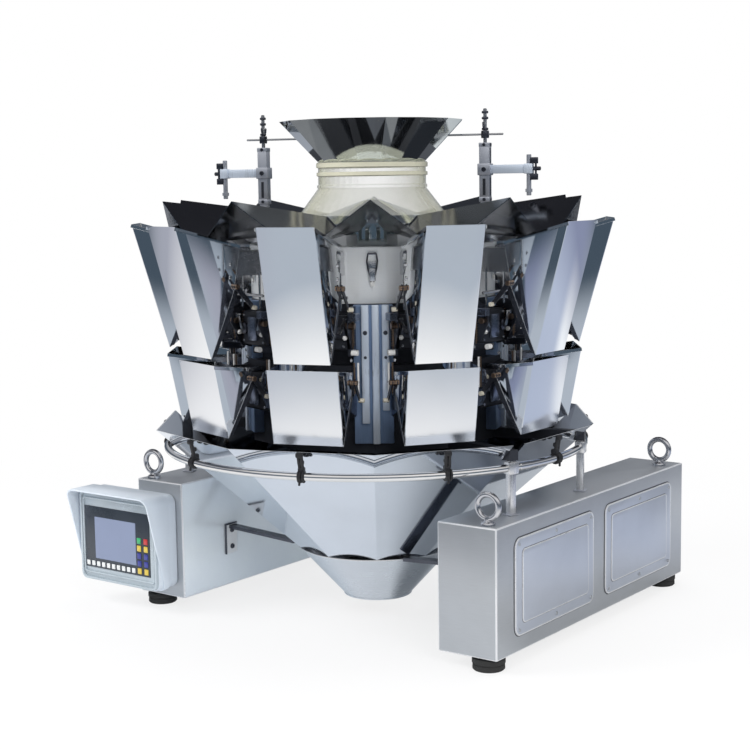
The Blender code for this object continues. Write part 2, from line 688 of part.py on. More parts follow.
def add_stands(axis):
    """Two posts on the drum that hold the funnel by a thin arm and carry a side clamp."""
    half = STAND_SIDE / 2
    for name, step in STAND_STEPS.items():
        angle = step * HEAD_STEP
        post = block((-half, -STAND_RADIUS - half, DRUM_Z[1] + GAP),
                     (half, -STAND_RADIUS + half, STAND_TOP_Z))
        screw = rod((0, -STAND_RADIUS, STAND_TOP_Z - half),
                    (0, -STAND_RADIUS, STAND_SCREW_TOP_Z), STAND_SCREW_RADIUS)
        clamp = rod((0, -STAND_RADIUS, FEELER_Z - FEELER_CLAMP_RADIUS),
                    (0, -STAND_RADIUS, FEELER_Z + FEELER_CLAMP_RADIUS), FEELER_CLAMP_RADIUS)
        slant = FEELER_RADIUS * math.tan(math.pi / FUNNEL_SIDES)
        touch = funnel_radius_at(FEELER_Z + FEELER_RADIUS, angle) + slant + GAP
        feeler = rod((0, -touch, FEELER_Z), (0, -STAND_RADIUS - half, FEELER_Z), FEELER_RADIUS)
        reach = STAND_RADIUS + half + SIDE_ARM_LENGTH
        arm_half = SIDE_ARM_SIDE / 2
        arm = block((-arm_half, -reach, SIDE_ARM_Z - arm_half),
                    (arm_half, -STAND_RADIUS, SIDE_ARM_Z + arm_half))
        side_post = rod((0, -reach, SIDE_POST_Z[0]), (0, -reach, SIDE_POST_Z[1]),
                        SIDE_POST_RADIUS)
        mesh = merged(post, *[("UNION", tool) for tool in (screw, clamp, feeler, arm, side_post)])
        add_node(name, mesh, "bare_aluminium", axis, turn=angle)


# ---------------------------------------------------------------- discharge
def chute_radius(z):
    """Corner radius of the chute's outer face at a height."""
    return CHUTE_FOOT_RADIUS + (z - CHUTE_FOOT_Z) * CHUTE_SLOPE


def add_chute(axis):
    """Ten-sided chute with an upright lip, a round foot and notches for the four arms."""
    corner = math.cos(HEAD_STEP / 2)
    sink = CHUTE_SHEET * math.hypot(1, CHUTE_SLOPE) / corner
    below = CHUTE_FOOT_Z - 0.010
    top = CHUTE_RIM_Z + CHUTE_LIP
    outline = [(chute_radius(below), below), (CHUTE_RIM_RADIUS, CHUTE_RIM_Z),
               (CHUTE_RIM_RADIUS, top), (CHUTE_RIM_RADIUS - sink, top),
               (CHUTE_RIM_RADIUS - sink, CHUTE_RIM_Z), (chute_radius(below) - sink, below)]
    tools = [("DIFFERENCE", turned([(0, 0), (CHUTE_FOOT_RADIUS, 0),
                                    (CHUTE_FOOT_RADIUS, CHUTE_FOOT_Z + 0.050),
                                    (0, CHUTE_FOOT_Z + 0.050)], 60))]
    for bar in arm_blocks(ARM_WIDTH + 2 * GAP, POST_TOP_Z, top + CHUTE_LIP,
                          CHUTE_RIM_RADIUS + ARM_WIDTH):
        tools.append(("DIFFERENCE", bar))
    add_node("discharge_chute", merged(turned(outline, HEADS), *tools), "satin_steel", axis,
             smooth=False)


def outlet_radius(z):
    """Outer radius of the round outlet at a height."""
    share = (z - OUTLET_FOOT_Z) / (OUTLET_TOP_Z - OUTLET_FOOT_Z)
    return OUTLET_FOOT_RADIUS + share * (CHUTE_FOOT_RADIUS - GAP - OUTLET_FOOT_RADIUS)


def add_outlet(axis):
    """Round outlet cone with a bracket to each side box."""
    top_radius = outlet_radius(OUTLET_TOP_Z)
    wall = OUTLET_SHEET
    cone = turned([(OUTLET_FOOT_RADIUS, OUTLET_FOOT_Z), (top_radius, OUTLET_TOP_Z),
                   (top_radius - wall * 2, OUTLET_TOP_Z),
                   (OUTLET_FOOT_RADIUS - wall, OUTLET_FOOT_Z)], 48)
    low, high = BRACKET_Z
    along, up = BRACKET_PLATE
    half = BRACKET_THICKNESS / 2
    plate_x = BOX_INNER_X - GAP
    middle = (low + high) / 2
    start = outlet_radius(low) - wall
    tools = []
    for side in (-1, 1):
        xs = sorted((side * start, side * (plate_x - half / 2)))
        tools.append(("UNION", block((xs[0], -half, low), (xs[1], half, high))))
        xs = sorted((side * (plate_x - half), side * plate_x))
        tools.append(("UNION", block((xs[0], -along / 2, middle - up / 2),
                                     (xs[1], along / 2, middle + up / 2))))
    add_node("discharge_outlet", merged(cone, *tools), "satin_steel", axis)


# ---------------------------------------------------------------- display
def add_display(axis):
    """The display housing on the front end of the left box, with a sunk screen."""
    back = BOX_FRONT_Y - GAP
    left = DISPLAY_RIGHT_X - DISPLAY_WIDTH
    foot, top = DISPLAY_FOOT_Z, DISPLAY_FOOT_Z + DISPLAY_HEIGHT
    housing = rounded_block((left, back - DISPLAY_DEPTH, foot), (DISPLAY_RIGHT_X, back, top),
                            DISPLAY_EDGE, segments=3, direction=1)
    side, rise = SCREEN_MARGIN
    front = back - DISPLAY_DEPTH
    recess = block((left + side, front - SCREEN_SINK, foot + rise),
                   (DISPLAY_RIGHT_X - side, front + SCREEN_SINK, top - rise))
    add_node("display_box", merged(housing, ("DIFFERENCE", recess)), "display_plastic", axis)


def add_axis(name, height):
    """An empty on the machine axis, that pieces are placed about."""
    axis = bpy.data.objects.new(name, None)
    axis.location = (AXIS_X, AXIS_Y, height)
    bpy.context.scene.collection.objects.link(axis)
    return axis


def main():
    for old in list(bpy.data.objects):
        bpy.data.objects.remove(old)
    base = add_axis("machine_axis", 0.0)
    add_boxes(base)
    add_display(base)
    deck = add_axis("deck_axis", BOX_TOP_Z - DECK_Z)
    add_ring_frame(deck)
    add_central_body(deck)
    add_drum(deck)
    add_heads(deck)
    add_feeding(deck)
    add_stands(deck)
    add_chute(deck)
    add_outlet(deck)


main()
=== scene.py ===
"""Looks of a ten-head combination weigher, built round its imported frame.

Every piece is modelled in metres in the frame of the CAD. The heads stand round the machine
axis, and what belongs to a head or to a gap between two heads is modelled once, reaching out
towards -Y from an axis at the origin, and then copied round the machine. A reach is a distance
from that axis towards -Y, and an outline is a row of (reach, height) points.
"""
import logging
import math
from dataclasses import dataclass
from enum import Enum
from typing import Callable, Sequence

import bmesh
import bpy
from mathutils import Matrix, Vector


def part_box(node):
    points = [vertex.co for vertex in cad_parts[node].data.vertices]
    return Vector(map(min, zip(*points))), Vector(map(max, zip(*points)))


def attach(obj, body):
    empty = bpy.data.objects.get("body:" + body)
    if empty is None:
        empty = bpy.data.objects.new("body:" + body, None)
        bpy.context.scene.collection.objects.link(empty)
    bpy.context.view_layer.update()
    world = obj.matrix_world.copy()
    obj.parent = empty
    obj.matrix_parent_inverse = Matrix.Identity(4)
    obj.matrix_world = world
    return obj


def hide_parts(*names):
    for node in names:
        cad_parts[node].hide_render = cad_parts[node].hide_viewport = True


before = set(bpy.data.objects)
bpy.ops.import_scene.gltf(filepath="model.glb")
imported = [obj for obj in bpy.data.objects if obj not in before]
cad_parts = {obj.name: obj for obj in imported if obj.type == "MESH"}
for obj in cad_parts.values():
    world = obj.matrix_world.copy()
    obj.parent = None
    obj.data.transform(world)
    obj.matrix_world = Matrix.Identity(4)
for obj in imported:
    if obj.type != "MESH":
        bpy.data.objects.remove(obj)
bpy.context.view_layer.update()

LOG = logging.getLogger("weigher")

Piece = bpy.types.Object
Node = bpy.types.Node
Socket = bpy.types.NodeSocket
Point = Sequence[float]
Spot = tuple[float, float]
Colour = tuple[float, float, float]

HEADS = 10
STEP = 2 * math.pi / HEADS
ARM_STEPS = (2, 3, 7, 8)
FRAME_BODY = "frame"
SIDES = (-1, 1)
UP = Vector((0, 0, 1))
WELD_DISTANCE = 0.00002
# Faces whose normal is less axis-aligned than this are bevels that get the painted edge highlight.
HIGHLIGHT_EDGE_NORMAL = 0.995


# ------------------------------------------------------------------ node graphs
class Graph:
    """The node tree of a material or a world, filled by short calls."""

    def __init__(self, owner: bpy.types.ID) -> None:
        """Turns the owner's nodes on."""
        owner.use_nodes = True
        self.tree = owner.node_tree

    def feed(self, node: Node | str, inputs: dict) -> Node:
        """Fills a node's inputs.

        Args:
            node: The node, or the name of one that is there already.
            inputs: By name or number of the input: a value, or the output that feeds it.

        Returns:
            The node.
        """
        node = self.tree.nodes[node] if isinstance(node, str) else node
        for key, value in inputs.items():
            socket = node.inputs[key]
            if isinstance(value, Socket):
                self.tree.links.new(value, socket)
            else:
                socket.default_value = (*value, 1.0) if socket.type == "RGBA" else value
        return node

    def add(self, kind: str, inputs: dict | None = None, **settings: str) -> Node:
        """Adds a node.

        Args:
            kind: Type of the node, without the word that all shader nodes start with.
            inputs: As in feed.
            settings: The node's own settings.

        Returns:
            The new node.
        """
        node = self.tree.nodes.new(f"ShaderNode{kind}")
        for name, value in settings.items():
            setattr(node, name, value)
        return self.feed(node, inputs or {})

    def place(self, kind: str = "Object") -> Socket:
        """The place of each point of the surface."""
        return self.add("TexCoord").outputs[kind]

    def reckon(self, operation: str, *values: Socket | float) -> Socket:
        """One step of arithmetic."""
        return self.add("Math", dict(enumerate(values)), operation=operation).outputs[0]

    def noise(self, scale: float, detail: float, stretch: Point = (1, 1, 1)) -> Socket:
        """A noise pattern on the object's own coordinates, stretched along a grain."""
        mapping = self.add("Mapping", {"Vector": self.place(), "Scale": stretch})
        return self.add("TexNoise", {"Vector": mapping.outputs["Vector"], "Scale": scale,
                                     "Detail": detail}).outputs["Fac"]

    def mapped(self, value: Socket, source: tuple, target: tuple = (0.0, 1.0),
               way: str = "LINEAR") -> Socket:
        """A value mapped from one range to another.

        Args:
            value: The value.
            source: Both ends of the range that it comes from, as numbers or outputs.
            target: Both ends of the range that it goes to.
            way: "LINEAR" or "SMOOTHSTEP".

        Returns:
            The mapped value.
        """
        inputs = {"Value": value, "From Min": source[0], "From Max": source[1],
                  "To Min": target[0], "To Max": target[1]}
        return self.add("MapRange", inputs, interpolation_type=way).outputs["Result"]

    def mixed(self, share: Socket, first: Socket | Colour, second: Socket | Colour) -> Socket:
        """Two colours mixed by a share of the second."""
        return self.add("Mix", {0: share, 6: first, 7: second}, data_type="RGBA").outputs[2]

    def either(self, share: Socket, first: Socket, second: Socket) -> Socket:
        """Two shaders mixed by a share of the second."""
        return self.add("MixShader", {0: share, 1: first, 2: second}).outputs["Shader"]

    def ramp(self, value: Socket, stops: Sequence[tuple[float, Colour]],
             way: str = "LINEAR") -> Socket:
        """A colour ramp.

        Args:
            value: The value that it follows.
            stops: The place, from 0 to 1, and the colour of each stop.
            way: "LINEAR" or "EASE".

        Returns:
            The colour.
        """
        node = self.add("ValToRGB", {"Fac": value})
        node.color_ramp.interpolation = way
        elements = node.color_ramp.elements
        while len(elements) < len(stops):
            elements.new(1.0)
        for element, (place, colour) in zip(elements, stops):
            element.position = place
            element.color = (*colour, 1.0)
        return node.outputs["Color"]


# ------------------------------------------------------------------ finishes
class Grain(Enum):
    """How the fine marks of a finish run: the pattern's scale along X, Y and Z."""

    EVEN = (1.0, 1.0, 1.0)
    UPRIGHT = (1.0, 1.0, 0.02)
    LEVEL = (0.03, 0.03, 1.0)


@dataclass(frozen=True)
class Surface:
    """What every finish has: the name of its material and its base colour, linear RGB."""

    name: str
    colour: Colour

    def material(self) -> bpy.types.Material:
        """The material of this finish, made the first time it is asked for."""
        found = bpy.data.materials.get(self.name)
        if found:
            return found
        made = bpy.data.materials.new(self.name)
        self.fill(Graph(made))
        return made

    def fill(self, graph: Graph) -> None:
        """Makes the nodes of the finish."""
        raise NotImplementedError

    def tinted(self, share: float) -> Colour:
        """The base colour, each part times a share and none past 1."""
        return tuple(min(1.0, part * share) for part in self.colour)


@dataclass(frozen=True)
class Finish(Surface):
    """One opaque finish, with its own colour variation, marks and wear.

    Args:
        metallic: 1 for bare metal.
        roughness: Middle roughness.
        unevenness: How far the roughness wanders each way.
        shading: How far the colour wanders, as a share of it.
        grain: How the fine marks run.
        marks: Fine marks per metre.
        relief: Strength of the marks' bump.
        patches: Larger smudges or cloudy patches per metre.
        coat: Weight of a clear coat.
        glow: Strength of the colour as its own light, for a lit screen.
        inner_tone: Painted shade on the upward sides low down, for a chute seen from above.
    """

    metallic: float = 1.0
    roughness: float = 0.3
    unevenness: float = 0.05
    shading: float = 0.06
    grain: Grain = Grain.EVEN
    marks: float = 600.0
    relief: float = 0.02
    patches: float = 9.0
    coat: float = 0.0
    glow: float = 0.0
    inner_tone: float = 1.0

    def fill(self, graph: Graph) -> None:
        """Makes the nodes: colour and roughness wander, and the fine marks stand out."""
        cloudy = graph.noise(self.patches, 3.0)
        fine = graph.noise(self.marks, 2.0, self.grain.value)
        low, high = self.roughness - self.unevenness, self.roughness + self.unevenness
        worn = graph.add("Mix", {0: 0.4, 2: cloudy, 3: fine}).outputs[0]
        bump = graph.add("Bump", {"Strength": self.relief, "Distance": 0.001, "Height": fine})
        shader = graph.feed("Principled BSDF", {
            "Base Color": self._wandering(graph, cloudy, fine),
            "Roughness": graph.mapped(worn, (0.3, 0.7), (max(0.0, low), min(1.0, high))),
            "Metallic": self.metallic, "Coat Weight": self.coat,
            "Normal": bump.outputs["Normal"]})
        if self.glow:
            graph.feed(shader, {"Emission Color": self.colour, "Emission Strength": self.glow})

    def _wandering(self, graph: Graph, cloudy: Socket, fine: Socket) -> Socket:
        """The colour, which wanders between a darker and a lighter tone.

        Args:
            graph: The finish's nodes.
            cloudy: The pattern of the patches.
            fine: The pattern of the marks.

        Returns:
            The colour, with painted shade on low sides that look up where the finish asks for it.
        """
        both = graph.reckon("MULTIPLY_ADD", fine, 0.35, graph.reckon("MULTIPLY", cloudy, 0.65))
        colour = graph.ramp(both, ((0.32, self.tinted(1 - self.shading)),
                                   (0.68, self.tinted(1 + self.shading))))
        if self.inner_tone == 1.0:
            return colour
        # Painted shade: sides that look up are darkened low down, more the deeper they lie.
        sides = graph.add("NewGeometry").outputs
        shares = []
        for output, bounds in (("Normal", (0.05, 0.15)), ("Position", (0.465, 0.435))):
            split = graph.add("SeparateXYZ", {"Vector": sides[output]})
            shares.append(graph.mapped(split.outputs["Z"], bounds))
        return graph.mixed(graph.reckon("MULTIPLY", *shares), colour, self.tinted(self.inner_tone))


@dataclass(frozen=True)
class ClearFinish(Surface):
    """Clear acrylic, cloudier where it is scuffed and yellower where it is seen at a slant.

    Args:
        edge: Colour of the surface seen at a slant.
        clearness: Share of the light that passes straight on.
        edge_cover: How much the surface hides when it is seen at a slant.
        roughness: Middle roughness.
    """

    edge: Colour
    clearness: float
    edge_cover: float = 0.70
    roughness: float = 0.06

    def fill(self, graph: Graph) -> None:
        """Makes the nodes: colour and cover change with the slant."""
        scuffs = graph.noise(22.0, 4.0)
        colour = graph.ramp(scuffs, ((0.35, self.tinted(0.9)), (0.65, self.tinted(1.06))))
        slant = graph.add("LayerWeight", {"Blend": 0.5}).outputs["Facing"]
        graph.feed("Principled BSDF", {
            "Coat Weight": 1.0,
            "Base Color": graph.mixed(slant, colour, self.edge),
            "Roughness": graph.mapped(scuffs, (0.0, 1.0),
                                      (self.roughness * 0.4, self.roughness * 2.0)),
            "Alpha": graph.mapped(slant, (0.0, 1.0), (1 - self.clearness, self.edge_cover))})


MIRROR_SHEET = Finish("mirror_sheet", (0.92, 0.93, 0.94), roughness=0.045, unevenness=0.025,
                      shading=0.02, grain=Grain.UPRIGHT, marks=900, relief=0.004, patches=7)
SATIN_SHEET = Finish("satin_sheet", (0.90, 0.91, 0.93), roughness=0.19, unevenness=0.03,
                     shading=0.03, grain=Grain.UPRIGHT, marks=900, relief=0.006, patches=7)
GATE_SHEET = Finish("gate_sheet", (0.66, 0.67, 0.70), roughness=0.14, shading=0.05,
                    grain=Grain.UPRIGHT, marks=700, relief=0.01)
PAN_SHEET = Finish("pan_sheet", (0.23, 0.235, 0.25), roughness=0.12, unevenness=0.06,
                   shading=0.12, marks=500)
FUNNEL_SHEET = Finish("funnel_sheet", (0.80, 0.84, 0.83), roughness=0.05, unevenness=0.03,
                      shading=0.03, grain=Grain.UPRIGHT, marks=700, relief=0.006)
# The chute's inside gets painted shade, darker towards its depth.
CHUTE_SHEET = Finish("chute_sheet", (0.74, 0.78, 0.84), roughness=0.055, unevenness=0.03,
                     shading=0.05, grain=Grain.UPRIGHT, marks=700, relief=0.006, patches=5,
                     inner_tone=0.13)
OUTLET_SHEET = Finish("outlet_sheet", (0.74, 0.77, 0.81), roughness=0.24, unevenness=0.06,
                      grain=Grain.LEVEL, marks=700, relief=0.03)
BOX_SHEET = Finish("box_sheet", (0.50, 0.52, 0.545), 0.70, 0.34, unevenness=0.06, shading=0.08,
                   grain=Grain.LEVEL, marks=900, relief=0.05, patches=6)
# Painted highlight: a lighter, less metallic sheet on bevels and rims so that they read bright.
EDGE_HIGHLIGHT = Finish("painted_edge_highlight", (0.80, 0.81, 0.83), 0.5, shading=0.05, marks=900)
# Painted shade: dark lines round the covers' plates and their pressed fields.
SHADE_LINE = Finish("painted_shade_line", (0.10, 0.105, 0.12), 0.6, 0.45, unevenness=0.08, shading=0.15,
                   marks=700, relief=0.04)
COVER_SHEET = Finish("cover_sheet", (0.58, 0.62, 0.70), 0.65, 0.38, unevenness=0.06,
                     marks=1100, relief=0.05, patches=8)
DRUM_SHEET = Finish("drum_sheet", (0.93, 0.96, 1.0), 0.25, 0.32, shading=0.05,
                    grain=Grain.LEVEL, marks=800, relief=0.03)
POST_STEEL = Finish("post_steel", (0.72, 0.72, 0.73), 0.85, 0.26, unevenness=0.06,
                    shading=0.08, grain=Grain.UPRIGHT, marks=700, relief=0.03)
RAIL_CHROME = Finish("rail_chrome", (0.80, 0.79, 0.78), roughness=0.10, shading=0.04,
                     marks=500, relief=0.01)
EYE_CHROME = Finish("eye_chrome", (0.60, 0.60, 0.62), roughness=0.20, unevenness=0.08,
                    shading=0.10, marks=400, relief=0.03)
DRIVE_CASTING = Finish("drive_casting", (0.030, 0.033, 0.042), 0.35, 0.42, unevenness=0.10,
                       shading=0.30, marks=900, relief=0.10)
DARK_BRACKET = Finish("dark_bracket", (0.10, 0.105, 0.125), 0.9, unevenness=0.10,
                      shading=0.20, marks=700, relief=0.05)
SLATE_PLATE = Finish("slate_plate", (0.22, 0.25, 0.32), 0.9, 0.25, unevenness=0.08,
                     shading=0.15, relief=0.03)
BRIGHT_STEEL = Finish("bright_steel", (0.66, 0.66, 0.67), roughness=0.22, unevenness=0.08,
                      shading=0.08)
BRONZE = Finish("bronze_bush", (0.36, 0.25, 0.18), unevenness=0.08, shading=0.12)
CREAM_NYLON = Finish("cream_nylon", (0.70, 0.66, 0.55), 0.0, 0.42, unevenness=0.08, marks=500)
WHITE_NYLON = Finish("white_nylon", (0.80, 0.80, 0.79), 0.0, 0.38, unevenness=0.06,
                     shading=0.04, marks=500)
WHITE_ENAMEL = Finish("white_enamel", (0.78, 0.80, 0.82), 0.1, 0.25, unevenness=0.06,
                      shading=0.05, marks=500, coat=0.4)
BLACK_TIE = Finish("black_tie", (0.012, 0.012, 0.014), 0.0, 0.45, unevenness=0.10,
                   shading=0.25, marks=500, relief=0.05)
BARE_ALLOY = Finish("bare_alloy", (0.60, 0.62, 0.68), 0.75, 0.32, unevenness=0.07,
                    shading=0.10, grain=Grain.UPRIGHT, marks=900, relief=0.04)
BAR_ALLOY = Finish("bar_alloy", (0.74, 0.82, 0.94), 0.5, unevenness=0.06, shading=0.08,
                   grain=Grain.UPRIGHT, marks=900, relief=0.03)
COLUMN_PAINT = Finish("column_paint", (0.22, 0.31, 0.48), 0.5, 0.34, unevenness=0.08,
                      shading=0.2, grain=Grain.UPRIGHT, marks=900, relief=0.04)
RUBBER = Finish("foot_rubber", (0.014, 0.014, 0.015), 0.0, 0.62, unevenness=0.10,
                shading=0.30, marks=900, relief=0.12)
DISPLAY_COAT = Finish("display_coat", (0.76, 0.83, 0.91), 0.15, 0.32, marks=1400, relief=0.06,
                      patches=6, coat=0.25)
FRAME_COAT = Finish("frame_coat", (0.51, 0.58, 0.63), 0.2, 0.26, shading=0.05, marks=1200,
                    relief=0.03, coat=0.4)
# Painted reflection: a lighter sheet for the box sides that face the machine's axis.
INNER_SIDE_REFLECTION = Finish("painted_inner_reflection", (0.86, 0.92, 1.0), 0.35, 0.22, unevenness=0.06,
                     shading=0.07, patches=5)
BEZEL_FILM = Finish("bezel_film", (0.035, 0.045, 0.060), 0.0, shading=0.12, marks=900)
SCREEN_GLASS = Finish("screen_glass", (0.175, 0.215, 0.330), 0.0, 0.16, unevenness=0.04,
                      shading=0.05, marks=1600, relief=0.0, coat=0.6, glow=0.22)
CREAM_BAND = Finish("cream_band", (0.78, 0.76, 0.60), 0.0, 0.25, marks=300, coat=0.4)
CLEAR_ACRYLIC = ClearFinish("clear_acrylic", (0.72, 0.73, 0.71), (0.72, 0.71, 0.50), 0.93)


class KeyColour(Enum):
    """The colours of the display's keys."""

    WHITE = (0.80, 0.82, 0.82)
    GREEN = (0.05, 0.42, 0.16)
    RED = (0.55, 0.04, 0.04)
    YELLOW = (0.70, 0.52, 0.08)
    BLUE = (0.04, 0.05, 0.28)

    def finish(self) -> Finish:
        """A glossy moulded key of this colour."""
        return Finish(f"key_{self.name.lower()}", self.value, 0.0, 0.32, shading=0.05,
                      marks=900, relief=0.01, coat=0.3)


# ------------------------------------------------------------------ modelling
def clear_selection() -> None:
    """Leaves edit mode and deselects every object."""
    if bpy.context.object and bpy.context.object.mode != "OBJECT":
        bpy.ops.object.mode_set(mode="OBJECT")
    bpy.ops.object.select_all(action="DESELECT")


def pick(*objects: Piece) -> None:
    """Selects these objects alone, the first of them active."""
    clear_selection()
    for obj in objects:
        obj.select_set(True)
    bpy.context.view_layer.objects.active = objects[0]


def choose(obj: Piece, kind: str, test: Callable[[object], bool]) -> None:
    """Selects the edges or faces that pass a test, in edit mode.

    Args:
        obj: The mesh object, already in edit mode.
        kind: "edges" or "faces".
        test: Says whether a bmesh edge or face is wanted.
    """
    bpy.ops.mesh.select_mode(type="EDGE" if kind == "edges" else "FACE")
    bpy.ops.mesh.select_all(action="DESELECT")
    bm = bmesh.from_edit_mesh(obj.data)
    for element in getattr(bm, kind):
        if test(element):
            element.select_set(True)
    bm.select_flush_mode()
    bmesh.update_edit_mesh(obj.data)


def runs_along(axis: int) -> Callable[[bmesh.types.BMEdge], bool]:
    """A test for edges that run along X, Y or Z (0, 1 or 2)."""
    return lambda edge: abs((edge.verts[0].co - edge.verts[1].co)[axis]) > 0.0001


def faces_way(axis: int, way: int, least: float = 0.9) -> Callable[[object], bool]:
    """A test for faces that look along an axis, one way (1 or -1)."""
    return lambda face: face.normal[axis] * way > least


def add_finish(obj: Piece, finish: Surface, test: Callable[[object], bool]) -> None:
    """Gives the faces that pass a test a further finish of their own."""
    obj.data.materials.append(finish.material())
    spot = len(obj.data.materials) - 1
    for face in obj.data.polygons:
        if test(face):
            face.material_index = spot


def settle(obj: Piece, finish: Surface, smooth: float = 35.0) -> Piece:
    """Applies the object's place to its mesh, shades it and gives it its finish.

    Args:
        obj: The object.
        finish: Its finish.
        smooth: Angle in degrees up to which edges shade smooth.

    Returns:
        The object.
    """
    pick(obj)
    bpy.ops.object.transform_apply(location=True, rotation=True, scale=True)
    bpy.ops.object.shade_smooth_by_angle(angle=math.radians(smooth))
    obj.data.materials.clear()
    obj.data.materials.append(finish.material())
    return obj


def soften(obj: Piece, edge: float, segments: int = 2, sharp: float = 50.0) -> None:
    """Bevels an object's sharp edges.

    Args:
        obj: The object.
        edge: Width of the bevel; none is made at 0.
        segments: Steps of the bevel.
        sharp: Least angle in degrees of a sharp edge.
    """
    if edge <= 0:
        return
    pick(obj)
    bpy.ops.object.mode_set(mode="EDIT")
    bpy.ops.mesh.select_mode(type="EDGE")
    bpy.ops.mesh.select_all(action="DESELECT")
    bpy.ops.mesh.edges_select_sharp(sharpness=math.radians(sharp))
    bpy.ops.mesh.bevel(offset=edge, segments=segments, affect="EDGES")
    bpy.ops.object.mode_set(mode="OBJECT")


def thicken(obj: Piece, sheet: float) -> None:
    """Gives a surface the thickness of its sheet, inwards."""
    wall = obj.modifiers.new("wall", "SOLIDIFY")
    wall.thickness = sheet
    wall.offset = -1.0
    bpy.ops.object.modifier_apply(modifier=wall.name)


def weld() -> None:
    """Merges doubled points, turns all faces outwards and leaves edit mode."""
    bpy.ops.mesh.select_all(action="SELECT")
    bpy.ops.mesh.remove_doubles(threshold=WELD_DISTANCE)
    bpy.ops.mesh.normals_make_consistent(inside=False)
    bpy.ops.object.mode_set(mode="OBJECT")


def cuboid(a: Point, b: Point) -> Piece:
    """A plain box between two opposite corners."""
    clear_selection()
    low, high = (Vector(corner) for corner in zip(*(sorted(pair) for pair in zip(a, b))))
    bpy.ops.mesh.primitive_cube_add(size=1.0, location=(low + high) / 2, scale=high - low)
    bpy.ops.object.transform_apply(location=True, rotation=True, scale=True)
    return bpy.context.object


def block(a: Point, b: Point, finish: Surface, edge: float = 0.001, segments: int = 2) -> Piece:
    """A bevelled box between two opposite corners."""
    obj = cuboid(a, b)
    soften(obj, edge, segments)
    return settle(obj, finish)


def rounded_plate(a: Point, b: Point, axis: int, radius: float, finish: Surface,
                  edge: float = 0.0006) -> Piece:
    """A plate whose four edges along one axis are rounded off.

    Args:
        a: One corner.
        b: The opposite corner.
        axis: The axis, 0, 1 or 2, that the rounded edges run along.
        radius: Radius of the rounded edges.
        finish: The plate's finish.
        edge: Bevel of the other edges.

    Returns:
        The plate.
    """
    obj = cuboid(a, b)
    bpy.ops.object.mode_set(mode="EDIT")
    choose(obj, "edges", runs_along(axis))
    bpy.ops.mesh.bevel(offset=radius, segments=7, affect="EDGES")
    bpy.ops.object.mode_set(mode="OBJECT")
    soften(obj, edge, 2, 60.0)
    return settle(obj, finish, 30)


def drawn_line(points: Sequence[Point]) -> Piece:
    """A line through the points, left in edit mode with all of it selected."""
    clear_selection()
    bpy.ops.mesh.primitive_plane_add(size=0.01, location=(0, 0, 0))
    obj = bpy.context.object
    bpy.ops.object.mode_set(mode="EDIT")
    bpy.ops.mesh.select_mode(type="VERT")
    bpy.ops.mesh.select_all(action="SELECT")
    bpy.ops.mesh.merge(type="CENTER")
    bpy.ops.transform.translate(value=Vector(points[0]))
    for a, b in zip(points, points[1:]):
        bpy.ops.mesh.extrude_region_move(
            TRANSFORM_OT_translate={"value": Vector(b) - Vector(a)})
    bpy.ops.mesh.select_all(action="SELECT")
    return obj


def drawn_prism(points: Sequence[Point], depth: Point) -> Piece:
    """An outline filled and extruded along depth, left in edit mode."""
    obj = drawn_line(points)
    bpy.ops.mesh.edge_face_add()
    bpy.ops.mesh.extrude_region_move(TRANSFORM_OT_translate={"value": Vector(depth)})
    bpy.ops.mesh.select_all(action="SELECT")
    bpy.ops.mesh.normals_make_consistent(inside=False)
    return obj


def prism(points: Sequence[Point], depth: Point, finish: Surface, edge: float = 0.0008,
          segments: int = 2) -> Piece:
    """A plate of any outline.

    Args:
        points: The corners of the outline in order.
        depth: Way and length of its thickness.
        finish: The plate's finish.
        edge: Bevel of its edges.
        segments: Steps of the bevel.

    Returns:
        The plate.
    """
    obj = drawn_prism(points, depth)
    bpy.ops.object.mode_set(mode="OBJECT")
    soften(obj, edge, segments)
    return settle(obj, finish)


def cheek(x: float, outline: Sequence[Spot], depth: float, finish: Surface,
          edge: float = 0.0006, segments: int = 1) -> Piece:
    """A plate that stands across X at x, its outline given as (reach, height)."""
    return prism([(x, -reach, height) for reach, height in outline], (depth, 0, 0), finish,
                 edge, segments)


def turned(profile: Sequence[Spot], finish: Surface, steps: int = 24,
           place: Matrix = Matrix.Identity(4), ring: bool = False,
           smooth: float = 40.0) -> Piece:
    """A turned piece: a profile of (radius, height) spun round Z and then put in its place.

    Args:
        profile: The points of the profile; a solid one starts and ends on the axis.
        finish: The piece's finish.
        steps: Steps of the spin.
        place: Where the piece's own axis and origin go.
        ring: Closes the profile's last point to its first.
        smooth: Angle in degrees up to which edges shade smooth.

    Returns:
        The turned piece.
    """
    obj = drawn_line([(radius, 0.0, height) for radius, height in profile])
    if ring:
        bm = bmesh.from_edit_mesh(obj.data)
        bpy.ops.mesh.select_all(action="DESELECT")
        for vert in bm.verts:
            if len(vert.link_edges) == 1:
                vert.select_set(True)
        bmesh.update_edit_mesh(obj.data)
        bpy.ops.mesh.edge_face_add()
        bpy.ops.mesh.select_all(action="SELECT")
    bpy.ops.mesh.spin(steps=steps, angle=2 * math.pi, center=(0, 0, 0), axis=(0, 0, 1))
    weld()
    obj.matrix_world = place
    return settle(obj, finish, smooth)


def shift(x: float, y: float, z: float) -> Matrix:
    """The place of a piece that is moved but not turned."""
    return Matrix.Translation((x, y, z))


def turn_z(angle: float) -> Matrix:
    """A turn about Z, from -Y towards +X."""
    return Matrix.Rotation(angle, 4, "Z")


def aim(start: Point, end: Point) -> Matrix:
    """The place of a piece whose own Z runs from start to end."""
    a, b = Vector(start), Vector(end)
    return Matrix.Translation(a) @ (b - a).to_track_quat("Z", "Y").to_matrix().to_4x4()


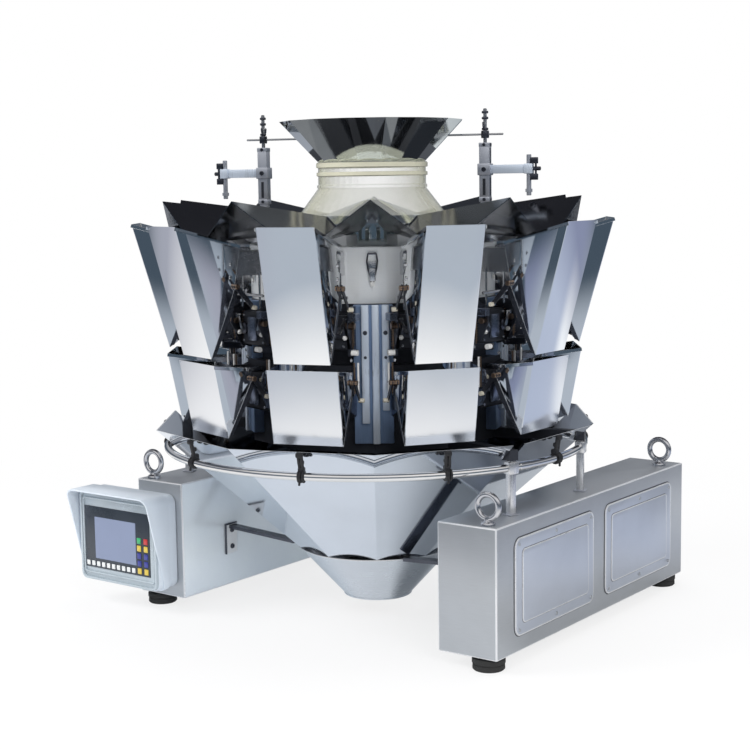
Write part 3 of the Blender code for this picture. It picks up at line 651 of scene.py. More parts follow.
def rod(start: Point, end: Point, radius: float, finish: Surface, edge: float = 0.0006,
        sides: int = 14) -> Piece:
    """A round bar with chamfered ends.

    Args:
        start: Middle of one end.
        end: Middle of the other.
        radius: Its radius.
        finish: Its finish.
        edge: Chamfer of its ends.
        sides: Sides of the bar; 6 makes a hexagon.

    Returns:
        The bar.
    """
    clear_selection()
    a, b = Vector(start), Vector(end)
    turn = (b - a).to_track_quat("Z", "Y").to_euler()
    bpy.ops.mesh.primitive_cylinder_add(vertices=sides, radius=radius, depth=(b - a).length,
                                        location=(a + b) / 2, rotation=turn)
    obj = bpy.context.object
    bpy.ops.object.transform_apply(location=True, rotation=True, scale=True)
    soften(obj, min(edge, radius * 0.4), 1, 60.0)
    return settle(obj, finish)


def pin(start: float, end: float, reach: float, height: float, radius: float,
        finish: Surface, edge: float = 0.0006, sides: int = 14) -> Piece:
    """A round bar that lies along X from start to end."""
    return rod((start, -reach, height), (end, -reach, height), radius, finish, edge, sides)


def post(x: float, reach: float, low: float, high: float, radius: float, finish: Surface,
         edge: float = 0.0006, sides: int = 14) -> Piece:
    """A round bar that stands upright from low to high."""
    return rod((x, -reach, low), (x, -reach, high), radius, finish, edge, sides)


def hoop(centre: Point, major: float, minor: float, finish: Surface, turn: Point = (0, 0, 0),
         steps: tuple[int, int] = (48, 12)) -> Piece:
    """A closed ring of round wire.

    Args:
        centre: Its middle.
        major: Radius of the ring.
        minor: Radius of the wire.
        finish: Its finish.
        turn: Its turn about X, Y and Z.
        steps: Steps round the ring and round the wire.

    Returns:
        The ring.
    """
    clear_selection()
    bpy.ops.mesh.primitive_torus_add(major_radius=major, minor_radius=minor, location=centre,
                                     rotation=turn, major_segments=steps[0],
                                     minor_segments=steps[1])
    return settle(bpy.context.object, finish, 80)


def spring(foot: Point, top: Point, radius: float, wire: float, turns: int,
           finish: Surface) -> Piece:
    """A coil spring between two points.

    Args:
        foot: Middle of the lower end.
        top: Middle of the upper end.
        radius: Radius of the coil.
        wire: Radius of the wire.
        turns: Turns of the coil.
        finish: Its finish.

    Returns:
        The spring.
    """
    clear_selection()
    bpy.ops.mesh.primitive_circle_add(vertices=6, radius=wire, location=(radius, 0, 0),
                                      rotation=(math.pi / 2, 0, 0))
    obj = bpy.context.object
    bpy.ops.object.transform_apply(location=True, rotation=True, scale=True)
    coil = obj.modifiers.new("coil", "SCREW")
    coil.screw_offset = (Vector(top) - Vector(foot)).length / turns
    coil.iterations = turns
    coil.steps = coil.render_steps = 12
    bpy.ops.object.modifier_apply(modifier=coil.name)
    bpy.ops.object.mode_set(mode="EDIT")
    choose(obj, "edges", lambda edge: edge.is_boundary)
    bpy.ops.mesh.fill_holes(sides=0)
    weld()
    obj.matrix_world = aim(foot, top)
    return settle(obj, finish, 80)


def screw_head(centre: Point, outwards: Point, radius: float = 0.005,
               finish: Surface = BRIGHT_STEEL) -> Piece:
    """A low domed screw head with a dimple, standing on a surface."""
    height = radius * 0.6
    return turned([(0, -0.0005), (radius, -0.0005), (radius, height * 0.4),
                   (radius * 0.8, height), (radius * 0.4, height), (radius * 0.3, height * 0.4),
                   (0, height * 0.4)], finish, 12, aim(centre, Vector(centre) + Vector(outwards)))


def joined(name: str, parts: Sequence[Piece]) -> Piece:
    """One object from several, under one name."""
    pick(*parts)
    if len(parts) > 1:
        bpy.ops.object.join()
    obj = bpy.context.object
    obj.name = obj.data.name = name
    return obj


def hand_over(obj: Piece, body: str = FRAME_BODY,
              stands_for: Sequence[str] = ()) -> None:
    """Gives a finished piece its body and the nodes that it stands for."""
    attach(obj, body)
    if stands_for:
        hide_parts(*stands_for)
    LOG.info("%s: %d faces on %s", obj.name, len(obj.data.polygons), body)


def hand_over_copy(pattern: Piece, place: Matrix, name: str, ending: str = "",
                   body: str = FRAME_BODY) -> None:
    """Places a copy of a pattern, with its own mesh and its place in the mesh.

    Args:
        pattern: The piece modelled once.
        place: Where the copy goes.
        name: Name of the node that the copy stands for, or its own if it stands for none.
        ending: What the copy's name adds to that of its node; "" if it stands for none.
        body: The body that it moves with.
    """
    made = pattern.copy()
    made.data = pattern.data.copy()
    made.name = made.data.name = name + ending
    made.data.transform(place)
    bpy.context.scene.collection.objects.link(made)
    hand_over(made, body, [name] if ending else ())


def discard(*patterns: Piece) -> None:
    """Removes patterns that have been copied."""
    for pattern in patterns:
        bpy.data.objects.remove(pattern)


@dataclass
class MachineAxis:
    """The upright axis that the heads stand round."""

    x: float
    y: float

    def head(self, number: int) -> Matrix:
        """Place of a head, counted from 1."""
        return self.turned_to((number - 0.5) * STEP)

    def gap(self, number: int) -> Matrix:
        """Place of the gap before head number + 1."""
        return self.turned_to(number * STEP)

    def turned_to(self, angle: float = 0.0) -> Matrix:
        """Place of a piece at an angle, counted from -Y towards +X."""
        return shift(self.x, self.y, 0) @ turn_z(angle)


# ------------------------------------------------------------------ heads
@dataclass
class HopperRow:
    """One row of ten hoppers and their gates. Corners are (reach, height)."""

    kind: str
    width: float
    front_top: Spot
    front_foot: Spot
    back_top: Spot
    hinge: Spot
    hanger_heights: Spot
    hanger_seat: float
    lever_tip: Spot
    sheet: float = 0.0016
    fold: float = 0.0028
    knuckle: float = 0.004
    gap: float = 0.0003
    hem: Spot = (0.008, 0.0012)
    hanger_spread: float = 0.028
    hanger_sheet: float = 0.004
    lever_sheet: float = 0.003

    def __post_init__(self) -> None:
        """Works out how the gate lies: its length, its way and its underside."""
        self.half = self.width / 2
        fall = Vector(self.front_foot) - Vector(self.hinge)
        self.length, self.way = fall.length, fall.normalized()
        under = Vector((self.way.y, -self.way.x))
        self.under = -under if under.x > 0 else under

    def outline(self) -> list[Vector]:
        """Side plate: front top, front foot, round the knuckle, back top."""
        lift = Vector((-self.way.y, self.way.x)) * self.gap
        first = math.atan2(self.way.y, self.way.x)
        points = [Vector(self.front_top), Vector(self.front_foot) + lift]
        for share in (0.0, 0.35, 0.7, 1.0):
            angle = first + (math.pi / 2 - first) * share
            ray = Vector((math.cos(angle), math.sin(angle))) * (self.knuckle + self.gap)
            points.append(Vector(self.hinge) + ray)
        points[2] += lift
        return [*points, Vector(self.back_top)]

    def shell(self) -> Piece:
        """The bent sheet: closed, its folds rounded, opened above and below, and thickened."""
        outline = self.outline()
        obj = drawn_prism([(-self.half, -reach, height) for reach, height in outline],
                          (self.width, 0, 0))
        walls = [(outline[0] + outline[1]) / 2, (outline[-1] + outline[-2]) / 2]

        def is_open(face: bmesh.types.BMFace) -> bool:
            """Says whether a face is neither a side plate nor the front or the back wall."""
            middle = face.calc_center_median()
            spot = Vector((-middle.y, middle.z))
            return len(face.verts) == 4 and all((spot - wall).length > 0.0004 for wall in walls)

        choose(obj, "faces", is_open)
        bpy.ops.mesh.delete(type="FACE")
        choose(obj, "edges", lambda edge: not edge.is_boundary)
        bpy.ops.mesh.bevel(offset=self.fold, segments=3, affect="EDGES")
        bpy.ops.object.mode_set(mode="OBJECT")
        thicken(obj, self.sheet)
        settle(obj, MIRROR_SHEET, 20)
        if self.kind == "weigh":
            add_finish(obj, SATIN_SHEET, faces_way(1, -1))
        return obj

    def fittings(self) -> list[Piece]:
        """The hems along the rim, the two hanger plates and the weld studs near the hinge."""
        front, back = Vector(self.front_top), Vector(self.back_top)
        rim = (back - front).normalized()
        depth, proud = self.hem
        down = Vector((-rim.y, rim.x)) * (-depth if rim.x > 0 else depth)
        hem = [front, back, back + down, front + down]
        low, high = self.hanger_heights
        seat, inner = self.hanger_seat, self.back_top[0] + 0.001
        hanger = [(inner, low), (inner, high), (seat + 0.012, high), (seat, high - 0.006),
                  (seat, low)]
        reach, height = self.hinge
        parts = []
        for side in SIDES:
            parts += [cheek(side * self.half, hem, side * proud, MIRROR_SHEET, 0.0004),
                      cheek(side * self.hanger_spread, hanger, side * self.hanger_sheet,
                            BRIGHT_STEEL)]
            for out, up in ((0.012, 0.022), (0.010, 0.052)):
                parts.append(screw_head((side * self.half, -reach - out, height + up),
                                        (side, 0, 0), 0.0045))
        return parts

    def spots(self, *places: Spot) -> list[Vector]:
        """Corners given from the hinge: along the gate and below it."""
        return [Vector(self.hinge) + self.way * along + self.under * below
                for along, below in places]

    def gate(self) -> Piece:
        """The gate: sheet, knuckle, pressed rib, side flanges and two levers with rollers."""
        half, sheet, length = self.half, self.sheet, self.length
        core, rib = sheet / 2, self.width * 0.3
        leaf = self.spots((0.003, 0), (length, 0), (length, sheet), (0.003, sheet))
        swage = self.spots((length * 0.25, core), (length * 0.85, core),
                           (length * 0.83, 0.0045), (length * 0.27, 0.0045))
        flange = self.spots((0.004, core), (length - 0.002, core), (length - 0.010, 0.009),
                            (length * 0.3, 0.014), (0.006, 0.012))
        hinge, tip = Vector(self.hinge), Vector(self.lever_tip)
        way = (tip - hinge).normalized()
        across = Vector((-way.y, way.x))
        lever = [hinge + across * 0.007 - way * 0.006, hinge - across * 0.007 - way * 0.006,
                 tip - across * 0.0045 + way * 0.005, tip + across * 0.0045 + way * 0.005]
        parts = [cheek(-half, leaf, self.width, GATE_SHEET, 0.0004),
                 pin(-half, half, *hinge, self.knuckle, GATE_SHEET, 0.0004, 18),
                 cheek(-rib, swage, 2 * rib, GATE_SHEET, 0.0012, 2)]
        for side in SIDES:
            x = side * (half + self.lever_sheet + 0.0005)
            parts += [cheek(side * half, flange, -side * sheet, DARK_BRACKET, 0.0003),
                      cheek(x, lever, side * self.lever_sheet, DARK_BRACKET),
                      pin(x - side * 0.001, x + side * 0.012, *tip, 0.0052, CREAM_NYLON),
                      pin(x - side * 0.003, x + side * 0.008, *hinge, 0.0062, BRONZE)]
        return joined(f"{self.kind}_gate_pattern", parts)

    def build(self, axis: MachineAxis) -> None:
        """Makes the row: one hopper and one gate modelled, ten of each placed."""
        hopper = joined(f"{self.kind}_pattern", [self.shell(), *self.fittings()])
        gate = self.gate()
        for number in range(1, HEADS + 1):
            place = axis.head(number)
            name = f"{self.kind}_gate_{number:02d}"
            hand_over_copy(hopper, place, f"{self.kind}_hopper_{number:02d}",
                           "_sheet")
            hand_over_copy(gate, place, name, "_leaf", name)
        discard(hopper, gate)


@dataclass
class DriveUnit:
    """The drives, cranks, springs and rods behind one head, on the central body's housings.

    Args:
        face: Reach of the housing's face.
        proud: How far the covers stand off it.
        half: Half of a cover's width.
        covers: Foot and top of each cover.
        cranks: Height, lift of the arm's tip and roller of each crank.
        uprights: X, reach, foot, top, radius and finish of each upright rod.
    """

    face: float = 0.335
    proud: float = 0.018
    half: float = 0.052
    covers: tuple = ((0.702, 0.783), (0.548, 0.640))
    cranks: tuple = ((0.742, 0.030, BRIGHT_STEEL), (0.600, 0.026, CREAM_NYLON))
    uprights: tuple = ((0.0400, 0.358, 0.794, 0.880, 0.0026, BRIGHT_STEEL),
                       (0.0635, 0.345, 0.702, 0.800, 0.0022, BRONZE),
                       (0.0715, 0.362, 0.604, 0.676, 0.0024, BRONZE),
                       (0.0810, 0.362, 0.604, 0.676, 0.0024, WHITE_NYLON))
    upper_cheek: tuple = ((0.318, 0.692), (0.350, 0.700), (0.362, 0.720), (0.380, 0.756),
                          (0.370, 0.796), (0.352, 0.804), (0.318, 0.802))
    lower_cheek: tuple = ((0.322, 0.546), (0.362, 0.560), (0.376, 0.606), (0.368, 0.644),
                          (0.322, 0.662))
    guide_arm: tuple = ((0.338, 0.690), (0.398, 0.694), (0.398, 0.710), (0.338, 0.704))

    def casing(self) -> Piece:
        """Covers with a raised band and screws, cheeks, guide arms and their bushes."""
        front = -self.face - self.proud
        parts = []
        for low, high in self.covers:
            parts += [block((-self.half, front, low), (self.half, -self.face + 0.002, high),
                            DRIVE_CASTING, 0.006, 3),
                      block((-0.020, front - 0.006, low + 0.012),
                            (0.020, front + 0.002, high - 0.012), SLATE_PLATE, 0.003)]
            parts += [screw_head((x, front, z), (0, -1, 0), 0.0038)
                      for x in (-0.044, 0.044) for z in (low + 0.010, high - 0.010)]
        for side in SIDES:
            x, sheet = side * 0.0605, side * 0.0025
            parts += [cheek(x, self.upper_cheek, sheet, DARK_BRACKET, 0.0008),
                      cheek(x, self.lower_cheek, sheet, SLATE_PLATE, 0.0008),
                      cheek(side * 0.0695, self.guide_arm, side * 0.006, DARK_BRACKET, 0.0008),
                      pin(side * 0.056, side * 0.076, 0.366, 0.760, 0.0075, BRONZE),
                      pin(side * 0.058, side * 0.072, 0.362, 0.606, 0.0075, DARK_BRACKET),
                      pin(side * 0.076, side * 0.092, 0.392, 0.702, 0.0065, WHITE_NYLON),
                      pin(side * 0.060, side * 0.0765, 0.345, 0.698, 0.0050, BRIGHT_STEEL),
                      block((side * 0.066, -0.385, 0.772), (side * 0.084, -0.352, 0.790),
                            SLATE_PLATE, 0.0015, 1)]
        return joined("drive_pattern", parts)

    def links(self) -> Piece:
        """Crank discs with an arm and a roller, upright rods, cross pins and springs."""
        front = -self.face - self.proud
        disc = [(0, 0), (0.014, 0), (0.014, 0.006), (0.011, 0.008), (0.004, 0.008),
                (0.004, 0.010), (0, 0.010)]
        bead = [(0, -0.006), (0.004, -0.0045), (0.006, 0), (0.004, 0.0045), (0, 0.006)]
        parts = []
        for side in SIDES:
            x, tip = side * 0.036, side * 0.052
            for z, lift, finish in self.cranks:
                arm = [(x - 0.005, z), (x + 0.005, z - 0.003), (tip + 0.004, z + lift),
                       (tip - 0.004, z + lift + 0.003)]
                parts += [turned(disc, DARK_BRACKET, 20, aim((x, front, z), (x, front - 1, z))),
                          prism([(across, front - 0.009, up) for across, up in arm],
                                (0, -0.0035, 0), BRIGHT_STEEL, 0.0006, 1),
                          rod((tip, front - 0.006, z + lift), (tip, front - 0.017, z + lift),
                              0.0048, finish)]
            parts += [post(side * x, *rest, 0.0004, 10) for x, *rest in self.uprights]
            parts += [spring((side * 0.0635, -0.345, 0.712), (side * 0.0635, -0.345, 0.784),
                             0.0046, 0.0009, 12, BRONZE),
                      pin(side * 0.045, side * 0.0835, 0.360, 0.6315, 0.0034, BRIGHT_STEEL,
                          sides=12),
                      turned(bead, WHITE_NYLON, 12, shift(side * 0.050, -0.362, 0.732))]
        parts.append(pin(-0.058, 0.058, 0.360, 0.824, 0.0036, BRIGHT_STEEL, sides=12))
        return joined("link_pattern", parts)

    def build(self, axis: MachineAxis) -> None:
        """Makes ten drive units and ten sets of links."""
        casing, links = self.casing(), self.links()
        for number in range(1, HEADS + 1):
            place = axis.head(number)
            hand_over_copy(casing, place, f"drive_unit_{number:02d}")
            hand_over_copy(links, place, f"drive_links_{number:02d}")
        discard(casing, links)


@dataclass
class GapDress:
    """What shows in the gap between two heads: bars, the drum's panel and its toggle latch.

    Args:
        drum_radius: Radius of the drum's wall.
        panel: Foot, top and half width of the service panel.
        backing: Reach and foot of the painted column's face behind the bars.
        bar_top: Height at which the bars end under the drum.
        bars: Middle, width and foot of each bar.
    """

    drum_radius: float = 0.304
    panel: tuple[float, float, float] = (0.809, 0.926, 0.0590)
    backing: Spot = (0.326, 0.4808)
    bar_top: float = 0.8045
    bars: tuple = ((-0.0185, 0.0175, 0.530), (0.0055, 0.0165, 0.4815), (0.0285, 0.0165, 0.560))

    def bar_set(self) -> Piece:
        """Three upright bars under the drum, the outer two screwed on."""
        reach, foot = self.backing
        parts = [block((-0.046, -reach, foot), (0.046, -reach + 0.034, self.bar_top),
                       COLUMN_PAINT, 0.003)]
        for middle, width, low in self.bars:
            parts.append(block((middle - width / 2, -reach - 0.011, low),
                               (middle + width / 2, -reach + 0.001, self.bar_top), BAR_ALLOY,
                               0.0018))
        for middle, _, _ in (self.bars[0], self.bars[2]):
            parts += [screw_head((middle, -reach - 0.011, z), (0, -1, 0), radius, DARK_BRACKET)
                      for z, radius in ((0.741, 0.0052), (0.684, 0.0036))]
        return joined("bar_pattern", parts)

    def cover(self) -> Piece:
        """The drum's curved service panel, a shallow shell that stands off the wall."""
        low, high, half = self.panel
        inner, outer = (-math.sqrt((self.drum_radius + proud) ** 2 - half ** 2)
                        for proud in (-0.0005, 0.0022))
        obj = drawn_line([(-half, inner, low), (-half, outer, low), (-half, outer, high),
                          (-half, inner, high)])
        bpy.ops.mesh.edge_face_add()
        bpy.ops.mesh.spin(steps=10, angle=2 * math.asin(half / (self.drum_radius + 0.0022)),
                          center=(0, 0, 0), axis=(0, 0, 1))
        weld()
        soften(obj, 0.0009)
        return settle(obj, DRUM_SHEET, 30)

    def latch(self) -> list[Piece]:
        """A toggle latch: base plate, bow, lever and hook."""
        front = -self.drum_radius - 0.0020
        parts = []
        for half, out, back, low, high, finish, edge in (
                (0.0090, 0.003, 0.002, 0.872, 0.904, BRIGHT_STEEL, 0.001),
                (0.0075, 0.009, -0.003, 0.858, 0.888, BRIGHT_STEEL, 0.002),
                (0.0055, 0.006, -0.001, 0.846, 0.862, WHITE_NYLON, 0.002),
                (0.0100, 0.005, 0.002, 0.917, 0.925, BRIGHT_STEEL, 0.0015)):
            parts.append(block((-half, front - out, low), (half, front + back, high), finish,
                               edge))
        for side in SIDES:
            for (x0, z0), (x1, z1), out, radius in (
                    ((0.0095, 0.884), (0.0125, 0.905), 0.006, 0.0017),
                    ((0.0125, 0.904), (0.0095, 0.922), 0.006, 0.0017),
                    ((0.0095, 0.885), (0.0030, 0.856), 0.005, 0.0015)):
                parts.append(rod((side * x0, front - 0.006, z0), (side * x1, front - out, z1),
                                 radius, DARK_BRACKET, 0.0003, 8))
            parts.append(screw_head((side * 0.0055, front - 0.003, 0.897), (0, -1, 0), 0.0022))
        return [*parts, pin(-0.0105, 0.0105, 0.006 - front, 0.9215, 0.0017, DARK_BRACKET,
                            0.0003, 8),
                pin(-0.011, 0.011, 0.005 - front, 0.886, 0.0022, BRIGHT_STEEL, 0.0003, 10)]

    def build(self, axis: MachineAxis) -> None:
        """Places the bars at every gap and the latched panels at every other one."""
        bars = self.bar_set()
        panel = joined("panel_pattern", [self.cover(), *self.latch()])
        for number in range(HEADS):
            place = axis.gap(number)
            hand_over_copy(bars, place, f"gap_bars_{number + 1:02d}")
            if number % 2:
                hand_over_copy(panel, place, f"drum_panel_{number + 1:02d}")
        discard(bars, panel)


# ------------------------------------------------------------------ rail, boxes and feet
@dataclass
class RingRail:
    """The rail round the chute with its posts, sleeves and the ties that hold the chute."""

    radius: float = 0.524
    tube: float = 0.0095
    height: float = 0.439
    post_half: float = 0.0085
    post_top: float = 0.456
    post_foot: float = 0.3303
    sleeve_half: float = 0.016
    sleeve_turn: float = 0.075

    def rail(self) -> Piece:
        """The bent tube, its posts, their pads and the tube's joint sleeves."""
        parts = [hoop((0, 0, self.height), self.radius, self.tube, RAIL_CHROME,
                      steps=(160, 20))]
        half, foot, height = self.post_half, self.post_foot, self.height
        for step in ARM_STEPS:
            for half_x, out, back, low, high, finish, edge, segments in (
                    (half, half, half, foot, self.post_top, POST_STEEL, 0.0015, 2),
                    (half + 0.006, half + 0.006, half + 0.006, foot, foot + 0.003, BARE_ALLOY,
                     0.001, 1),
                    (half + 0.005, half + 0.005, half + 0.003, height - 0.014, height + 0.015,
                     POST_STEEL, 0.0025, 2)):
                piece = block((-half_x, -self.radius - out, low),
                              (half_x, -self.radius + back, high), finish, edge, segments)
                piece.data.transform(turn_z(step * STEP))
                parts.append(piece)
            sleeve = pin(-self.sleeve_half, self.sleeve_half, self.radius, height,
                         self.tube + 0.0012, RAIL_CHROME, 0.0008, 24)
            sleeve.data.transform(turn_z(step * STEP + self.sleeve_turn))
            parts.append(sleeve)
        return joined("ring_rail", parts)

    def tie(self) -> Piece:
        """A cable tie from the rail to the chute's facet, with its knots and cut tails."""
        rail = Vector((0, -self.radius, self.height))
        parts = [hoop(rail + Vector((x, 0, 0)), self.tube + 0.0022, 0.0030, BLACK_TIE,
                      (0, math.pi / 2, lean), (20, 8))
                 for x, lean in ((-0.0055, 0.10), (0.0, -0.06), (0.0055, 0.05))]
        for low, high in (((-0.0075, -0.006, 0.008), (0.0065, 0.012, 0.021)),
                          ((-0.0085, -0.006, 0.026), (0.0065, 0.006, 0.037)),
                          ((-0.0095, -0.014, 0.043), (0.0075, -0.002, 0.055))):
            parts.append(block(rail + Vector(low), rail + Vector(high), BLACK_TIE, 0.004, 3))
        for start, end, thick in (((-0.003, 0.001, 0.014), (-0.005, -0.006, 0.050), 0.0042),
                                  ((0.004, -0.001, 0.015), (0.003, -0.008, 0.052), 0.0038),
                                  ((0.001, -0.009, 0.006), (-0.002, -0.010, -0.019), 0.0026)):
            parts.append(rod(rail + Vector(start), rail + Vector(end), thick, BLACK_TIE,
                             0.0008, 10))
        return joined("tie_pattern", parts)

    def build(self, axis: MachineAxis) -> None:
        """Makes the rail, which stands for the CAD one, and ten ties."""
        rail = self.rail()
        rail.data.transform(axis.turned_to())
        hand_over(rail, FRAME_BODY, ["ring_frame"])
        tie = self.tie()
        for number in range(1, HEADS + 1):
            hand_over_copy(tie, axis.head(number), f"cable_tie_{number:02d}")
        discard(tie)


@dataclass
class SideBoxes:
    """The two side boxes with their eye bolts, the cover plates and the feet."""

    top: float = 0.330
    hatch: Spot = (0.034, 0.010)
    foot_height: float = 0.031
    foot_radius: float = 0.038
    eye_ring: float = 0.0272
    eye_wire: float = 0.0070
    eye_middle: float = 0.0425
    eye_insets: tuple[float, float, float] = (0.036, 0.024, 0.066)

    def casing(self, low: Vector, high: Vector, inwards: int) -> Piece:
        """The folded box.

        Args:
            low: Its lowest corner.
            high: Its highest corner.
            inwards: The way along X to the machine's axis.

        Returns:
            The box: rounded edges with a painted highlight, a sunk hatch underneath, an inner side
                lightened as a painted reflection.
        """
        margin, depth = self.hatch
        obj = cuboid(low, high)
        bpy.ops.object.mode_set(mode="EDIT")
        choose(obj, "faces", faces_way(2, -1))
        bpy.ops.mesh.inset(thickness=margin, depth=0.0)
        bpy.ops.mesh.extrude_region_move(TRANSFORM_OT_translate={"value": (0, 0, depth)})
        bpy.ops.object.mode_set(mode="OBJECT")
        soften(obj, 0.0034, 3)
        settle(obj, BOX_SHEET, 30)
        # Painted highlight on the bevels, and a painted reflection that lightens the side facing
        # the axis.
        add_finish(obj, EDGE_HIGHLIGHT,
                   lambda face: max(abs(part) for part in face.normal) < HIGHLIGHT_EDGE_NORMAL)
        add_finish(obj, INNER_SIDE_REFLECTION, faces_way(0, inwards, 0.99))
        return obj

    def eye_bolt(self, x: float, y: float) -> list[Piece]:
        """A lifting eye: collar, neck and ring."""
        return [turned([(0, -0.001), (0.0165, -0.001), (0.0165, 0.0055), (0.0145, 0.008),
                        (0.0105, 0.0095), (0.0085, 0.0125), (0.0080, 0.020), (0, 0.020)],
                       EYE_CHROME, 28, shift(x, y, self.top)),
                hoop((x, y, self.top + self.eye_middle), self.eye_ring, self.eye_wire,
                     EYE_CHROME, (math.pi / 2, 0, 0), (48, 18))]

    def cover(self, low: Vector, high: Vector) -> list[Piece]:
        """A screwed cover: plate, rolled rim, pressed field and six screws, with a painted
        highlight on the rims and painted shade as dark outlines round the plate and the field.
        """
        # Painted shade: the dark layers outline the plate and the field; painted highlight: the
        # bright layers make the rims.
        layers = ((-0.0025, 0.0245, 0.0002, SHADE_LINE), (0.0, 0.0220, 0.0030, EDGE_HIGHLIGHT),
                  (0.0035, 0.0190, 0.0034, COVER_SHEET), (0.0275, 0.0130, 0.0037, SHADE_LINE),
                  (0.0290, 0.0120, 0.0052, EDGE_HIGHLIGHT), (0.0315, 0.0100, 0.0056, COVER_SHEET))
        parts = []
        for margin, radius, height, finish in layers:
            upright = margin * 0.94
            parts.append(rounded_plate((low.x, low.y + margin, low.z + upright),
                                       (low.x + height, high.y - margin, high.z - upright),
                                       0, radius, finish, 0.0001 if height < 0.001 else 0.0008))
        parts += [screw_head((low.x + 0.0034, y, z), (1, 0, 0), 0.0042, BOX_SHEET)
                  for z in (low.z + 0.014, high.z - 0.014)
                  for y in (low.y + 0.016, (low.y + high.y) / 2, high.y - 0.016)]
        return parts

    def foot(self) -> Piece:
        """A rubber foot: tread, waist groove and a washer against the box."""
        r, h = self.foot_radius, self.foot_height
        rubber = turned([(0, 0), (r - 0.004, 0), (r - 0.001, 0.003), (r - 0.0015, 0.012),
                         (r - 0.003, 0.0135), (r - 0.003, 0.015), (r, 0.0165), (r, h - 0.006),
                         (r - 0.002, h - 0.004), (0, h - 0.004)], RUBBER, 48)
        washer = turned([(0, h - 0.004), (r * 0.72, h - 0.004), (r * 0.72, h - 0.0005),
                         (0, h - 0.0005)], BRIGHT_STEEL, 36)
        return joined("foot_pattern", [rubber, washer])

    def build(self) -> None:
        """Makes both boxes, their eyes, the covers and the feet from the frame's own boxes."""
        from_side, from_front, from_rear = self.eye_insets
        for hand, side in (("left", -1), ("right", 1)):
            low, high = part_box(f"side_box_{hand}")
            parts = [self.casing(Vector((low.x, low.y, self.foot_height)),
                                 Vector((high.x, high.y, self.top)), -side)]
            outer = high.x if side > 0 else low.x
            for y in (low.y + from_front, high.y - from_rear):
                parts += self.eye_bolt(outer - side * from_side, y)
            hand_over(joined(f"side_box_{hand}_casing", parts), FRAME_BODY,
                      [f"side_box_{hand}"])
        for end in ("front", "rear"):
            hand_over(joined(f"cover_{end}_plate", self.cover(*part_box(f"cover_plate_{end}"))),
                      FRAME_BODY, [f"cover_plate_{end}"])
        pattern = self.foot()
        for end in ("front", "rear"):
            for hand in ("left", "right"):
                name = f"foot_{end}_{hand}"
                middle = sum(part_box(name), Vector()) / 2
                hand_over_copy(pattern, shift(middle.x, middle.y, 0), name,
                               "_pad")
        discard(pattern)


